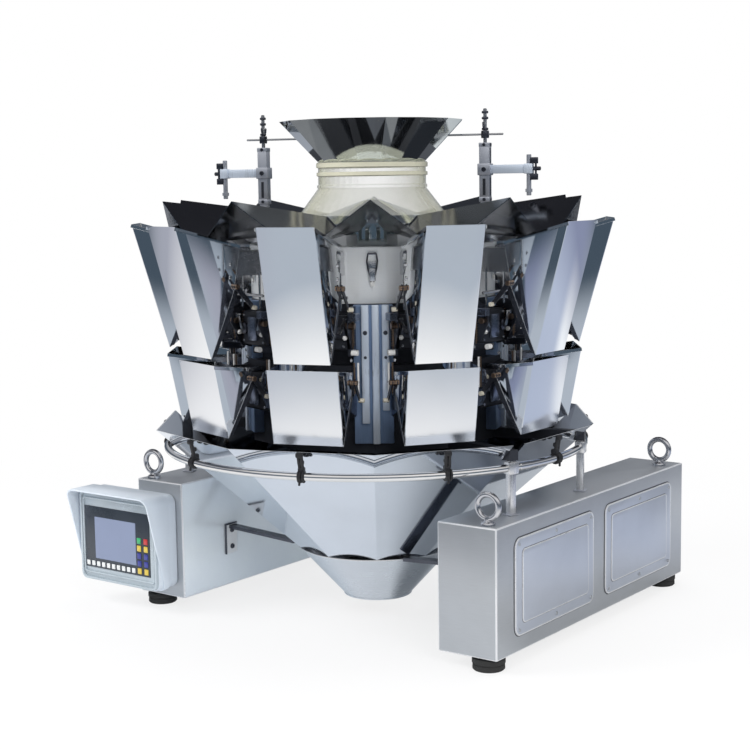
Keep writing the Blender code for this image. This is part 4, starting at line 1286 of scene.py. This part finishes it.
# ------------------------------------------------------------------ display
@dataclass
class Display:
    """The display housing: coated shell, visor, sunk bezel, screen and keys.

    The bezel's and the screen's edges (left, right, foot, top) and the middles of the first
    keys are counted from the housing's left side and foot.
    """

    corner: float = 0.024
    visor_depth: float = 0.024
    visor_reach: float = 0.018
    visor_sheet: float = 0.0045
    visor_slope: Spot = (-1.0, -0.26)
    bezel: tuple[float, ...] = (0.0205, 0.2543, 0.0392, 0.2024)
    screen: tuple[float, ...] = (0.0577, 0.2065, 0.0652, 0.1754)
    side_keys: Spot = (0.2183, 0.1309)
    side_pitch: Spot = (0.0240, 0.0197)
    foot_keys: Spot = (0.0312, 0.0508)
    foot_pitch: float = 0.01837

    def __post_init__(self) -> None:
        """Takes the housing's box from the frame."""
        self.low, self.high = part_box("display_box")
        self.front = self.low.y + self.visor_depth

    def plate(self, margins: tuple[float, float, float], near: float, far: float,
              radius: float, finish: Surface, edge: float) -> Piece:
        """A rounded plate across the housing.

        Args:
            margins: How far in it stays from both sides, from the foot and from the top.
            near: Where its face is along Y.
            far: Where its back is.
            radius: Radius of its corners.
            finish: Its finish.
            edge: Bevel of its other edges.

        Returns:
            The plate.
        """
        beside, below, above = margins
        return rounded_plate((self.low.x + beside, near, self.low.z + below),
                             (self.high.x - beside, far, self.high.z - above), 1, radius,
                             finish, edge)

    def frame_ring(self, beside: float, below: float, width: float, proud: float) -> Piece:
        """A rounded frame round the face, given its margins, its width and its height."""
        ring = self.plate((beside, below, below), self.front - proud, self.front + 0.003,
                          max(0.006, self.corner - beside), FRAME_COAT, 0)
        pick(ring)
        bpy.ops.object.mode_set(mode="EDIT")
        choose(ring, "faces", faces_way(1, -1))
        bpy.ops.mesh.inset(thickness=width, depth=0.0)
        bpy.ops.mesh.extrude_region_move(TRANSFORM_OT_translate={"value": (0, proud, 0)})
        bpy.ops.object.mode_set(mode="OBJECT")
        soften(ring, 0.0016)
        return settle(ring, FRAME_COAT)

    def shell(self) -> list[Piece]:
        """The housing behind the visor, with the raised frame and the sunk field inside it."""
        return [self.plate((0.004, 0.003, 0.004), self.front, self.high.y, self.corner,
                           DISPLAY_COAT, 0.006),
                self.frame_ring(0.0060, 0.0070, 0.0065, 0.0070),
                self.frame_ring(0.0145, 0.0240, 0.0045, 0.0055),
                self.plate((0.009, 0.010, 0.010), self.front - 0.0012, self.front + 0.004,
                           self.corner * 0.7, FRAME_COAT, 0.0008)]

    def visor(self) -> Piece:
        """A hood over the top and both sides, cut back along a slope towards its foot."""
        low, high = self.low, self.high
        near = low.y - self.visor_reach
        obj = cuboid((low.x - 0.008, near, low.z), (high.x - 0.001, self.front + 0.040, high.z))
        bpy.ops.object.mode_set(mode="EDIT")
        choose(obj, "edges", runs_along(1))
        bpy.ops.mesh.bevel(offset=self.corner, segments=8, affect="EDGES")
        choose(obj, "faces", lambda face: abs(face.normal.y) > 0.9)
        bpy.ops.mesh.delete(type="FACE")
        bpy.ops.mesh.select_all(action="SELECT")
        bpy.ops.mesh.bisect(plane_co=(0, near + 0.0005, high.z - 0.006),
                            plane_no=Vector((0.0, *self.visor_slope)).normalized(),
                            clear_outer=True, use_fill=False)
        bpy.ops.object.mode_set(mode="OBJECT")
        thicken(obj, self.visor_sheet)
        soften(obj, 0.0014)
        return settle(obj, DISPLAY_COAT)

    def inlay(self, edges: tuple[float, ...], near: float, far: float, finish: Surface,
              edge: float, segments: int) -> Piece:
        """A flat block on the face between four edges."""
        left, right, foot, top = edges
        return block((self.low.x + left, near, self.low.z + foot),
                     (self.low.x + right, far, self.low.z + top), finish, edge, segments)

    def key(self, x: float, z: float, size: float, colour: KeyColour) -> Piece:
        """One domed key round a middle."""
        half, tall = size / 2, size / 2 * 1.12
        sunk = self.front - 0.0035
        return self.inlay((x - half, x + half, z - tall, z + tall), sunk - 0.0022,
                          sunk + 0.0005, colour.finish(), 0.0013, 2)

    def face(self) -> list[Piece]:
        """The bezel, the screen and the keys on the sunk front."""
        sunk = self.front - 0.0035
        parts = [self.inlay(self.bezel, sunk, sunk + 0.006, BEZEL_FILM, 0.0012, 2),
                 self.inlay(self.screen, sunk - 0.0010, sunk + 0.0020, SCREEN_GLASS, 0.0005, 1)]
        (x, z), (across, down) = self.side_keys, self.side_pitch
        for row, colours in enumerate(((KeyColour.GREEN, KeyColour.RED),
                                       (KeyColour.YELLOW, KeyColour.YELLOW),
                                       (KeyColour.BLUE, KeyColour.BLUE),
                                       (KeyColour.BLUE, KeyColour.BLUE),
                                       (KeyColour.YELLOW, KeyColour.YELLOW))):
            parts += [self.key(x + column * across, z - row * down, 0.0135, colour)
                      for column, colour in enumerate(colours)]
        x, z = self.foot_keys
        parts += [self.key(x + number * self.foot_pitch, z, 0.0115, KeyColour.WHITE)
                  for number in range(10)]
        return parts

    def build(self) -> None:
        """Makes the housing, which stands for the CAD one, and its face."""
        hand_over(joined("display_shell", [*self.shell(), self.visor()]), FRAME_BODY,
                  ["display_box"])
        hand_over(joined("display_face", self.face()), FRAME_BODY)


# ------------------------------------------------------------------ chute and outlet
@dataclass
class Outlet:
    """The round outlet under the chute and the brackets that hold it to the boxes."""

    rim: Spot = (0.2027, 0.1725)
    foot: Spot = (0.0840, 0.0410)
    sheet: float = 0.0018
    box_face: float = 0.3920
    bracket_y: float = -0.124
    bar_end: float = 0.172

    def cone(self) -> Piece:
        """The cone with a rolled foot and a seam band near the rim."""
        (r1, z1), (r0, z0) = self.rim, self.foot
        wall = self.sheet * 1.4
        body = turned([(r0, z0), (r1, z1), (r1 - wall, z1), (r0 - wall, z0)], OUTLET_SHEET, 96,
                      ring=True)
        hem = hoop((0, 0, z0 + 0.002), r0 + 0.0010, 0.0028, OUTLET_SHEET, steps=(96, 10))
        lip = hoop((0, 0, z1 - 0.001), r1 - 0.0005, 0.0018, RAIL_CHROME, steps=(96, 8))
        return joined("outlet_cone", [body, hem, lip])

    def bracket(self, side: int) -> list[Piece]:
        """A bright bolted plate on the box and a dark angle bar down to the outlet's rim."""
        x, y = side * self.box_face, self.bracket_y
        plate = block((x, y - 0.021, 0.1155), (x - side * 0.004, y + 0.021, 0.196),
                      WHITE_ENAMEL, 0.0012)
        bolts = [screw_head((x - side * 0.004, y, z), (-side, 0, 0), 0.0070, DARK_BRACKET)
                 for z in (0.134, 0.178)]
        back, front, inner = -y - 0.021, -y + 0.0235, -y + 0.0205
        angle = cheek(x, [(back, 0.197), (front, 0.197), (front, 0.115), (inner, 0.115),
                          (inner, 0.193), (back, 0.193)], -side * 0.0055, DARK_BRACKET)
        near, rim = side * self.bar_end, self.rim[1]
        bar = prism([(x, y - 0.010, 0.192), (near, y - 0.006, rim + 0.006),
                     (near, y - 0.006, rim - 0.003), (x, y - 0.010, 0.183)], (0, 0.026, 0),
                    DARK_BRACKET, 0.0006, 1)
        return [plate, *bolts, angle, bar]

    def build(self, axis: MachineAxis) -> None:
        """Makes the outlet with both brackets; together they stand for the CAD's outlet."""
        made = joined("outlet", [self.cone(), *self.bracket(-1), *self.bracket(1)])
        made.data.transform(axis.turned_to())
        hand_over(made, FRAME_BODY, ["discharge_outlet"])


@dataclass
class Chute:
    """The ten-sided chute: sheet walls with painted shade low inside, a rim with a painted
    highlight, scalloped foot, notches for the arms.
    """

    rim: Spot = (0.559, 0.4950)
    foot: Spot = (0.203, 0.173)
    sheet: float = 0.0032
    overlap: float = 0.010
    arm_half: float = 0.0165
    arm_foot: float = 0.456

    def build(self, axis: MachineAxis) -> None:
        """Makes the chute with its corners at the gaps; it stands for the CAD's chute."""
        (r1, z1), (r0, z0) = self.rim, self.foot
        low = z0 - self.overlap
        r_low = r0 - self.overlap * (r1 - r0) / (z1 - z0)
        body = turned([(r_low, low), (r1, z1), (r1 - self.sheet, z1), (r_low - self.sheet, low)],
                      CHUTE_SHEET, HEADS, axis.turned_to(-math.pi / 2), True, 20)
        self.cut(body, turned([(0, 0), (r0, 0), (r0, z0 + 0.050), (0, z0 + 0.050)],
                              CHUTE_SHEET, 60, axis.turned_to()))
        for step in ARM_STEPS:
            notch = block((-self.arm_half, -r1 - 0.02, self.arm_foot),
                          (self.arm_half, -r1 + 0.12, z1 + 0.02), CHUTE_SHEET, 0)
            notch.data.transform(axis.gap(step))
            self.cut(body, notch)
        settle(body, CHUTE_SHEET, 20)
        # Painted highlight along the top of the rim.
        add_finish(body, EDGE_HIGHLIGHT, lambda face: face.center.z > z1 - 0.0005)
        hand_over(joined("chute_body", [body]), FRAME_BODY, ["discharge_chute"])

    @staticmethod
    def cut(body: Piece, tool: Piece) -> None:
        """Takes a tool's shape away from the chute."""
        pick(body)
        cut = body.modifiers.new("cut", "BOOLEAN")
        cut.operation = "DIFFERENCE"
        cut.object = tool
        bpy.ops.object.modifier_apply(modifier=cut.name)
        discard(tool)


# ------------------------------------------------------------------ funnel stands and collar
@dataclass
class FunnelStand:
    """A stand on the drum: slotted post, screw with wing nut, feeler rod and side clamp."""

    radius: float = 0.290
    half: float = 0.010
    sleeve: float = 0.0125
    foot: float = 0.9383
    top: float = 1.176
    screw_top: float = 1.258
    thread_pitch: float = 0.0031
    nuts: tuple[float, ...] = (1.206, 1.232, 1.246)
    bands: tuple[Spot, ...] = ((0.985, 0.010), (1.034, 0.012), (1.166, 0.010))
    feeler_height: float = 1.196
    feeler_touch: float = 0.196
    arm_height: float = 1.112
    arm_reach: float = 0.398
    short_post: Spot = (1.048, 1.146)

    def square(self, half: float, low: float, high: float, finish: Surface = BARE_ALLOY,
               edge: float = 0.001, segments: int = 2, reach: float = 0.0) -> Piece:
        """A square block round the post, or round another reach.

        Args:
            half: Half of its width.
            low: Its foot.
            high: Its top.
            finish: Its finish.
            edge: Its bevel.
            segments: Steps of the bevel.
            reach: Reach of its middle; 0 for the post's own.

        Returns:
            The block.
        """
        middle = -(reach or self.radius)
        return block((-half, middle - half, low), (half, middle + half, high), finish, edge,
                     segments)

    def screws(self) -> list[Piece]:
        """The threaded rod with its nuts and wing nut."""
        r = self.radius
        made = [post(0, r, self.top - 0.004, self.screw_top, 0.0042, BRIGHT_STEEL, 0.001, 16)]
        made += [post(0, r, z, z + 0.006, 0.0082, DARK_BRACKET, 0.001, 6) for z in self.nuts]
        made += [hoop((0, -r, self.top + 0.002 + number * self.thread_pitch), 0.0041, 0.0008,
                      BRIGHT_STEEL, steps=(12, 5)) for number in range(26)]
        wing = ((0.004, 1.212), (0.013, 1.226), (0.017, 1.224), (0.015, 1.214), (0.006, 1.206))
        made += [prism([(side * out, -r, z) for out, z in wing], (0, 0.003, 0), DARK_BRACKET,
                       0.0006, 1) for side in SIDES]
        return made

    def post_set(self) -> list[Piece]:
        """The post in its sleeve, the screwed bands, the slots as dark strips of painted shade,
        and the feeler rod.
        """
        r, half, z = self.radius, self.half, self.feeler_height
        grip = [(0, -0.009), (0.009, -0.009), (0.0098, -0.006), (0.0098, 0.006), (0.009, 0.009),
                (0, 0.009)]
        made = [self.square(half, self.foot, self.top, edge=0.0012),
                self.square(self.sleeve, 1.040, self.top - 0.004, edge=0.0015),
                self.square(half + 0.006, self.foot, self.foot + 0.006, segments=1),
                turned(grip, DARK_BRACKET, 20, shift(0, -r, z)),
                rod((0, -self.feeler_touch, z), (0, -r - 0.045, z), 0.0024, BRIGHT_STEEL,
                    0.0005, 12)]
        proud = half + 0.003
        for low, tall in self.bands:
            middle = low + tall / 2
            made.append(self.square(proud, low, low + tall))
            made += [screw_head((x * proud, -r + y * proud, middle), (x, y, 0), 0.0042,
                                DARK_BRACKET) for x, y in ((0, -1), (-1, 0), (1, 0))]
        # Painted shade: thin dark strips on the sleeve stand for the slots.
        inner, outer = self.sleeve - 0.0005, self.sleeve + 0.0006
        made += [block((side * inner, -r - 0.0035, 1.050), (side * outer, -r + 0.0035, 1.090),
                       DRIVE_CASTING, 0.0002, 1) for side in SIDES]
        made += [block((-0.0035, -r - outer, low), (0.0035, -r - inner, low + 0.042),
                       DRIVE_CASTING, 0.0002, 1) for low in (1.122, 1.050)]
        return made

    def side_clamp(self) -> list[Piece]:
        """The arm that reaches out to a short round post and its clamp blocks."""
        r, z, reach, proud = self.radius, self.arm_height, self.arm_reach, self.half + 0.006
        made = [block((-0.007, -reach, z - 0.0105), (0.007, -r, z + 0.0105), BAR_ALLOY, 0.001),
                self.square(proud, z - 0.014, z + 0.014, edge=0.0015),
                self.square(0.0105, z - 0.012, z + 0.012, BAR_ALLOY, 0.0015, reach=reach),
                post(0, reach, *self.short_post, 0.0058, BARE_ALLOY, 0.001, 20),
                block((-0.0055, -reach - 0.0185, z - 0.026), (0.0055, -reach - 0.0155, z + 0.026),
                      DARK_BRACKET, 0.0006, 1)]
        made += [block((-0.007, -reach - 0.0215, low), (0.007, -reach - 0.0045, low + 0.015),
                       DARK_BRACKET, 0.0012) for low in (z - 0.027, z + 0.012)]
        made += [rod((0, -reach - 0.010, z), (0, -reach - 0.029, z), 0.0048, DARK_BRACKET,
                     0.0008, 6),
                 turned([(0, -0.004), (0.0085, -0.004), (0.0085, 0.004), (0, 0.004)],
                        BARE_ALLOY, 20, shift(0, -reach, 1.060))]
        made += [screw_head((side * proud, -r, z), (side, 0, 0), 0.0058, DARK_BRACKET)
                 for side in SIDES]
        return made

    def build(self, axis: MachineAxis) -> None:
        """Places one stand over each of the two gaps that carry them."""
        pattern = joined("stand_pattern", [*self.post_set(), *self.screws(),
                                           *self.side_clamp()])
        for name, step in (("funnel_stand_right", 3), ("funnel_stand_left", 8)):
            hand_over_copy(pattern, axis.gap(step), name, "_set")
        discard(pattern)


@dataclass
class CollarBands:
    """Two clamp bands round the clear collar's neck, which move with the funnel."""

    neck: float = 0.134
    bands: tuple = ((1.1215, 1.1340, 0.0045), (1.1010, 1.1110, 0.0040))

    def build(self, axis: MachineAxis) -> None:
        """Makes both bands from their foot, their top and how far they stand out."""
        inner = self.neck + 0.0004
        parts = [turned([(inner, low), (self.neck + proud, low + 0.001),
                         (self.neck + proud, high - 0.001), (inner, high)], CREAM_BAND, 72,
                        axis.turned_to(), True) for low, high, proud in self.bands]
        hand_over(joined("collar_bands", parts), "funnel")


# ------------------------------------------------------------------ carried-over nodes
class NodeFinish(Enum):
    """The finish of each CAD node that is shown as it is."""

    central_body = DRIVE_CASTING
    drum = DRUM_SHEET
    feeder_pans = PAN_SHEET
    dispersion_cone = FUNNEL_SHEET
    clear_collar = CLEAR_ACRYLIC
    infeed_funnel = FUNNEL_SHEET

    @classmethod
    def dress(cls) -> None:
        """Gives every carried-over CAD node its finish."""
        for name, member in cls.__members__.items():
            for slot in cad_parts[name].material_slots:
                slot.material = member.value.material()
            LOG.info("%s: dressed", name)


# ------------------------------------------------------------------ studio
@dataclass
class Studio:
    """Floor, world, lamps and camera. None of it is part of the machine.

    Tones that go round the machine run from 0 behind it over 0.5 straight in front. Tones of
    the sky run from 0 at the horizon to 1 overhead.

    Args:
        azimuth: The camera's angle round the machine, in degrees from -Y towards +X.
        distance: Its distance from the machine's axis.
        height: Its height.
        pitch: How far it looks down, in degrees.
        roll: How far it leans, in degrees.
        lens: Its focal length in millimetres.
        sensor: Width of its sensor in millimetres.
        lamp_aim: What all lamps look at.
        lamps: Name, place, size in metres and strength in watts of each lamp.
        floor_size: Length of the floor's sides.
        paper: Colour of the floor's matt paper.
        direct: Distances between which the floor's own light grows, and its share at each,
            as the camera sees it.
        mirrored: The same, as reflections see it.
        under_fade: Distances between which the tones under the machine give way.
        edge_fade: Distances between which the far floor takes its edge tone.
        sky_fade: Share of the way to the camera between which the front sky takes over.
        ambient: Strength of the plain light.
        fade_unit: Unit, in metres, of tone_starts and tone_ends.
        edge_tone: The floor far away, as reflections see it.
        under_tones: The floor under the machine.
        near_tones: The floor near the machine.
        far_tones: The floor farther out.
        tone_starts: Where the near tones begin to fade, in lengths of fade_unit.
        tone_ends: Where the far tones have taken over, in lengths of fade_unit.
        front_sky: The sky on the camera's side.
        back_sky: The sky behind the machine.
    """

    azimuth: float = 36.52
    distance: float = 3.80
    height: float = 1.0773
    pitch: float = 7.138
    roll: float = -0.8405
    lens: float = 72.67
    sensor: float = 36.0
    lamp_aim: Point = (0.0, 0.0, 0.6)
    lamps: tuple = (("key_lamp", (-2.6, -2.8, 3.4), 2.2, 120),
                    ("fill_lamp", (3.4, -2.2, 2.4), 2.0, 70),
                    ("top_lamp", (0.4, 0.6, 4.2), 2.4, 70))
    floor_size: float = 60.0
    paper: Colour = (0.86, 0.86, 0.87)
    direct: tuple[Spot, Spot] = ((1.2, 2.6), (0.78, 1.0))
    mirrored: tuple[Spot, Spot] = ((1.05, 1.35), (0.60, 1.0))
    under_fade: Spot = (0.75, 1.25)
    edge_fade: Spot = (3.7, 6.0)
    sky_fade: Spot = (-0.15, 0.35)
    ambient: float = 0.60
    fade_unit: float = 4.0
    edge_tone: Colour = (0.060, 0.085, 0.115)
    under_tones: tuple = ((0.00, (0.50, 0.54, 0.58)), (0.30, (0.62, 0.70, 0.78)),
                          (0.48, (0.78, 0.82, 0.87)), (0.66, (0.76, 0.80, 0.84)),
                          (0.75, (0.14, 0.16, 0.18)), (0.86, (0.14, 0.16, 0.18)),
                          (1.00, (0.50, 0.54, 0.58)))
    near_tones: tuple = ((0.00, (0.95, 0.96, 0.97)), (0.38, (1.0, 1.0, 1.0)),
                         (0.72, (0.98, 0.98, 0.98)), (0.82, (0.46, 0.52, 0.66)),
                         (0.905, (0.48, 0.54, 0.68)), (0.93, (0.93, 0.96, 1.0)),
                         (1.00, (0.95, 0.96, 0.97)))
    far_tones: tuple = ((0.00, (0.30, 0.34, 0.38)), (0.20, (0.36, 0.38, 0.44)),
                        (0.38, (0.40, 0.41, 0.49)), (0.50, (0.44, 0.49, 0.56)),
                        (0.72, (0.44, 0.49, 0.56)), (0.84, (0.25, 0.28, 0.41)),
                        (0.915, (0.25, 0.28, 0.41)), (1.00, (0.30, 0.34, 0.38)))
    tone_starts: tuple = ((0.00, 0.55), (0.35, 0.44), (0.46, 0.35), (0.72, 0.35), (0.82, 0.62),
                          (0.91, 0.62), (1.00, 0.55))
    tone_ends: tuple = ((0.00, 0.90), (0.35, 0.88), (0.46, 0.47), (0.72, 0.47), (0.82, 0.85),
                        (1.00, 0.90))
    front_sky: tuple = ((0.00, (0.070, 0.095, 0.125)), (0.14, (0.12, 0.14, 0.17)),
                        (0.34, (0.50, 0.52, 0.55)), (0.52, (1.00, 1.00, 1.00)),
                        (0.72, (0.95, 0.95, 0.96)), (1.00, (0.10, 0.10, 0.11)))
    back_sky: tuple = ((0.00, (0.070, 0.095, 0.125)), (0.10, (0.12, 0.14, 0.17)),
                       (0.20, (0.42, 0.44, 0.48)), (0.36, (0.42, 0.43, 0.47)),
                       (0.50, (0.09, 0.10, 0.12)), (1.00, (0.05, 0.05, 0.06)))

    def floor(self, axis: MachineAxis) -> None:
        """A wide floor: white for the camera, toned by distance for the reflections."""
        clear_selection()
        bpy.ops.mesh.primitive_plane_add(size=self.floor_size, location=(0, 0, 0))
        floor = bpy.context.object
        floor.name = "studio_floor"
        paper = bpy.data.materials.new("floor_paper")
        graph = Graph(paper)
        graph.tree.nodes.remove(graph.tree.nodes["Principled BSDF"])
        matt = graph.add("BsdfDiffuse", {"Color": self.paper}).outputs["BSDF"]
        away = graph.add("VectorMath", {0: graph.place(), 1: (axis.x, axis.y, 0.0)},
                         operation="SUBTRACT").outputs["Vector"]
        radius = graph.add("VectorMath", {0: away}, operation="LENGTH").outputs["Value"]
        turn = self._turn_round(graph, away)
        tone = graph.mixed(graph.mapped(radius, self.under_fade, way="SMOOTHSTEP"),
                           graph.ramp(turn, self.under_tones, "EASE"),
                           self._floor_tone(graph, radius, turn))
        direct = self._lit(graph, matt, (1.0, 1.0, 1.0), radius, self.direct)
        mirrored = self._lit(graph, matt, tone, radius, self.mirrored)
        paths = graph.add("LightPath").outputs
        shown = graph.either(paths["Is Camera Ray"],
                             graph.either(paths["Is Glossy Ray"], matt, mirrored), direct)
        graph.feed("Material Output", {"Surface": shown})
        floor.data.materials.append(paper)

    @staticmethod
    def _turn_round(graph: Graph, away: Socket) -> Socket:
        """The turn of a place round the machine, 0.5 straight in front and rising to the right."""
        split = graph.add("SeparateXYZ", {"Vector": away}).outputs
        angle = graph.reckon("ARCTAN2", split["X"], graph.reckon("MULTIPLY", split["Y"], -1.0))
        return graph.reckon("MULTIPLY_ADD", angle, 1 / (2 * math.pi), 0.5)

    @staticmethod
    def _lit(graph: Graph, matt: Socket, colour: Socket | Colour, radius: Socket,
             growth: tuple[Spot, Spot]) -> Socket:
        """The matt paper mixed with a light of its own, more of it farther out.

        Args:
            graph: The floor's nodes.
            matt: The paper.
            colour: Colour of the light.
            radius: Distance from the machine's axis.
            growth: Distances between which the light's share changes, and both shares.

        Returns:
            The mixed shader.
        """
        glow = graph.add("Emission", {"Color": colour}).outputs["Emission"]
        return graph.either(graph.mapped(radius, *growth, "SMOOTHSTEP"), matt, glow)

    def _floor_tone(self, graph: Graph, radius: Socket, turn: Socket) -> Socket:
        """The floor's tone in reflections: near, farther out and at the far edge."""
        ends = [graph.reckon("MULTIPLY", graph.ramp(turn, [(at, (grey,) * 3)
                                                           for at, grey in stops], "EASE"),
                             self.fade_unit) for stops in (self.tone_starts, self.tone_ends)]
        ground = graph.mixed(graph.mapped(radius, ends),
                             graph.ramp(turn, self.near_tones, "EASE"),
                             graph.ramp(turn, self.far_tones, "EASE"))
        return graph.mixed(graph.mapped(radius, self.edge_fade, way="SMOOTHSTEP"), ground,
                           self.edge_tone)

    def world(self) -> None:
        """White for the camera, a graded sky for the reflections, plain light else."""
        world = bpy.data.worlds.new("studio_world")
        bpy.context.scene.world = world
        graph = Graph(world)
        paths = graph.add("LightPath").outputs
        seen = graph.reckon("MAXIMUM", paths["Is Camera Ray"], paths["Is Transmission Ray"])
        plain = graph.feed("Background", {
            "Color": (1.0, 1.0, 1.0),
            "Strength": graph.mapped(seen, (0.0, 1.0), (self.ambient, 1.0))})
        way = graph.place("Generated")
        height = graph.add("SeparateXYZ", {"Vector": way}).outputs["Z"]
        side = math.radians(self.azimuth)
        ahead = graph.add("VectorMath", {0: way, 1: (math.sin(side), -math.cos(side), 0.0)},
                          operation="DOT_PRODUCT").outputs["Value"]
        tone = graph.mixed(graph.mapped(ahead, self.sky_fade, way="SMOOTHSTEP"),
                           graph.ramp(height, self.back_sky, "EASE"),
                           graph.ramp(height, self.front_sky, "EASE"))
        sky = graph.add("Background", {"Color": tone})
        shown = graph.either(paths["Is Glossy Ray"], plain.outputs["Background"],
                             sky.outputs["Background"])
        graph.feed("World Output", {"Surface": shown})

    def lamp(self, name: str, place: Point, size: float, watts: float) -> None:
        """A square soft lamp that looks at the middle of the machine."""
        data = bpy.data.lights.new(name, "AREA")
        data.shape = "SQUARE"
        data.size = size
        data.energy = watts
        lamp = bpy.data.objects.new(name, data)
        lamp.visible_glossy = False
        lamp.location = place
        way = Vector(self.lamp_aim) - Vector(place)
        lamp.rotation_euler = way.to_track_quat("-Z", "Y").to_euler()
        bpy.context.scene.collection.objects.link(lamp)

    def camera(self, axis: MachineAxis) -> None:
        """The camera at the viewing angle, slightly rolled."""
        a, pitch, roll = (math.radians(v) for v in (self.azimuth, self.pitch, self.roll))
        forward = Vector((-math.sin(a), math.cos(a), 0))
        right = Vector((math.cos(a), math.sin(a), 0))
        look = forward * math.cos(pitch) - UP * math.sin(pitch)
        lift = UP * math.cos(pitch) + forward * math.sin(pitch)
        across = right * math.cos(roll) + lift * math.sin(roll)
        upright = -right * math.sin(roll) + lift * math.cos(roll)
        place = Vector((axis.x, axis.y, self.height)) - forward * self.distance
        data = bpy.data.cameras.new("view_camera")
        data.lens = self.lens
        data.sensor_width = self.sensor
        camera = bpy.data.objects.new("view_camera", data)
        turn = Matrix((across, upright, -look)).transposed().to_4x4()
        camera.matrix_world = Matrix.Translation(place) @ turn
        bpy.context.scene.collection.objects.link(camera)
        bpy.context.scene.camera = camera

    def build(self, axis: MachineAxis) -> None:
        """Sets the whole studio."""
        bpy.context.scene.view_settings.view_transform = "Standard"
        self.floor(axis)
        self.world()
        for lamp in self.lamps:
            self.lamp(*lamp)
        self.camera(axis)


def main() -> None:
    """Builds every sub-assembly in order."""
    logging.basicConfig(level=logging.INFO, format="%(name)s: %(message)s")
    clear_selection()
    low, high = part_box("drum")
    axis = MachineAxis((low.x + high.x) / 2, (low.y + high.y) / 2)
    NodeFinish.dress()
    feed = HopperRow("feed", width=0.135, front_top=(0.593, 0.991), front_foot=(0.508, 0.687),
                     back_top=(0.423, 0.945), hinge=(0.440, 0.850),
                     hanger_heights=(0.872, 0.928), hanger_seat=0.304,
                     lever_tip=(0.396, 0.800))
    weigh = HopperRow("weigh", width=0.169, front_top=(0.511, 0.673), front_foot=(0.479, 0.502),
                      back_top=(0.414, 0.660), hinge=(0.411, 0.636),
                      hanger_heights=(0.6425, 0.656), hanger_seat=0.3353,
                      lever_tip=(0.378, 0.592))
    for assembly in (feed, weigh, DriveUnit(), GapDress(), RingRail()):
        assembly.build(axis)
    SideBoxes().build()
    Display().build()
    for assembly in (Outlet(), FunnelStand(), Chute(), CollarBands(), Studio()):
        assembly.build(axis)


if __name__ == "__main__":
    main()
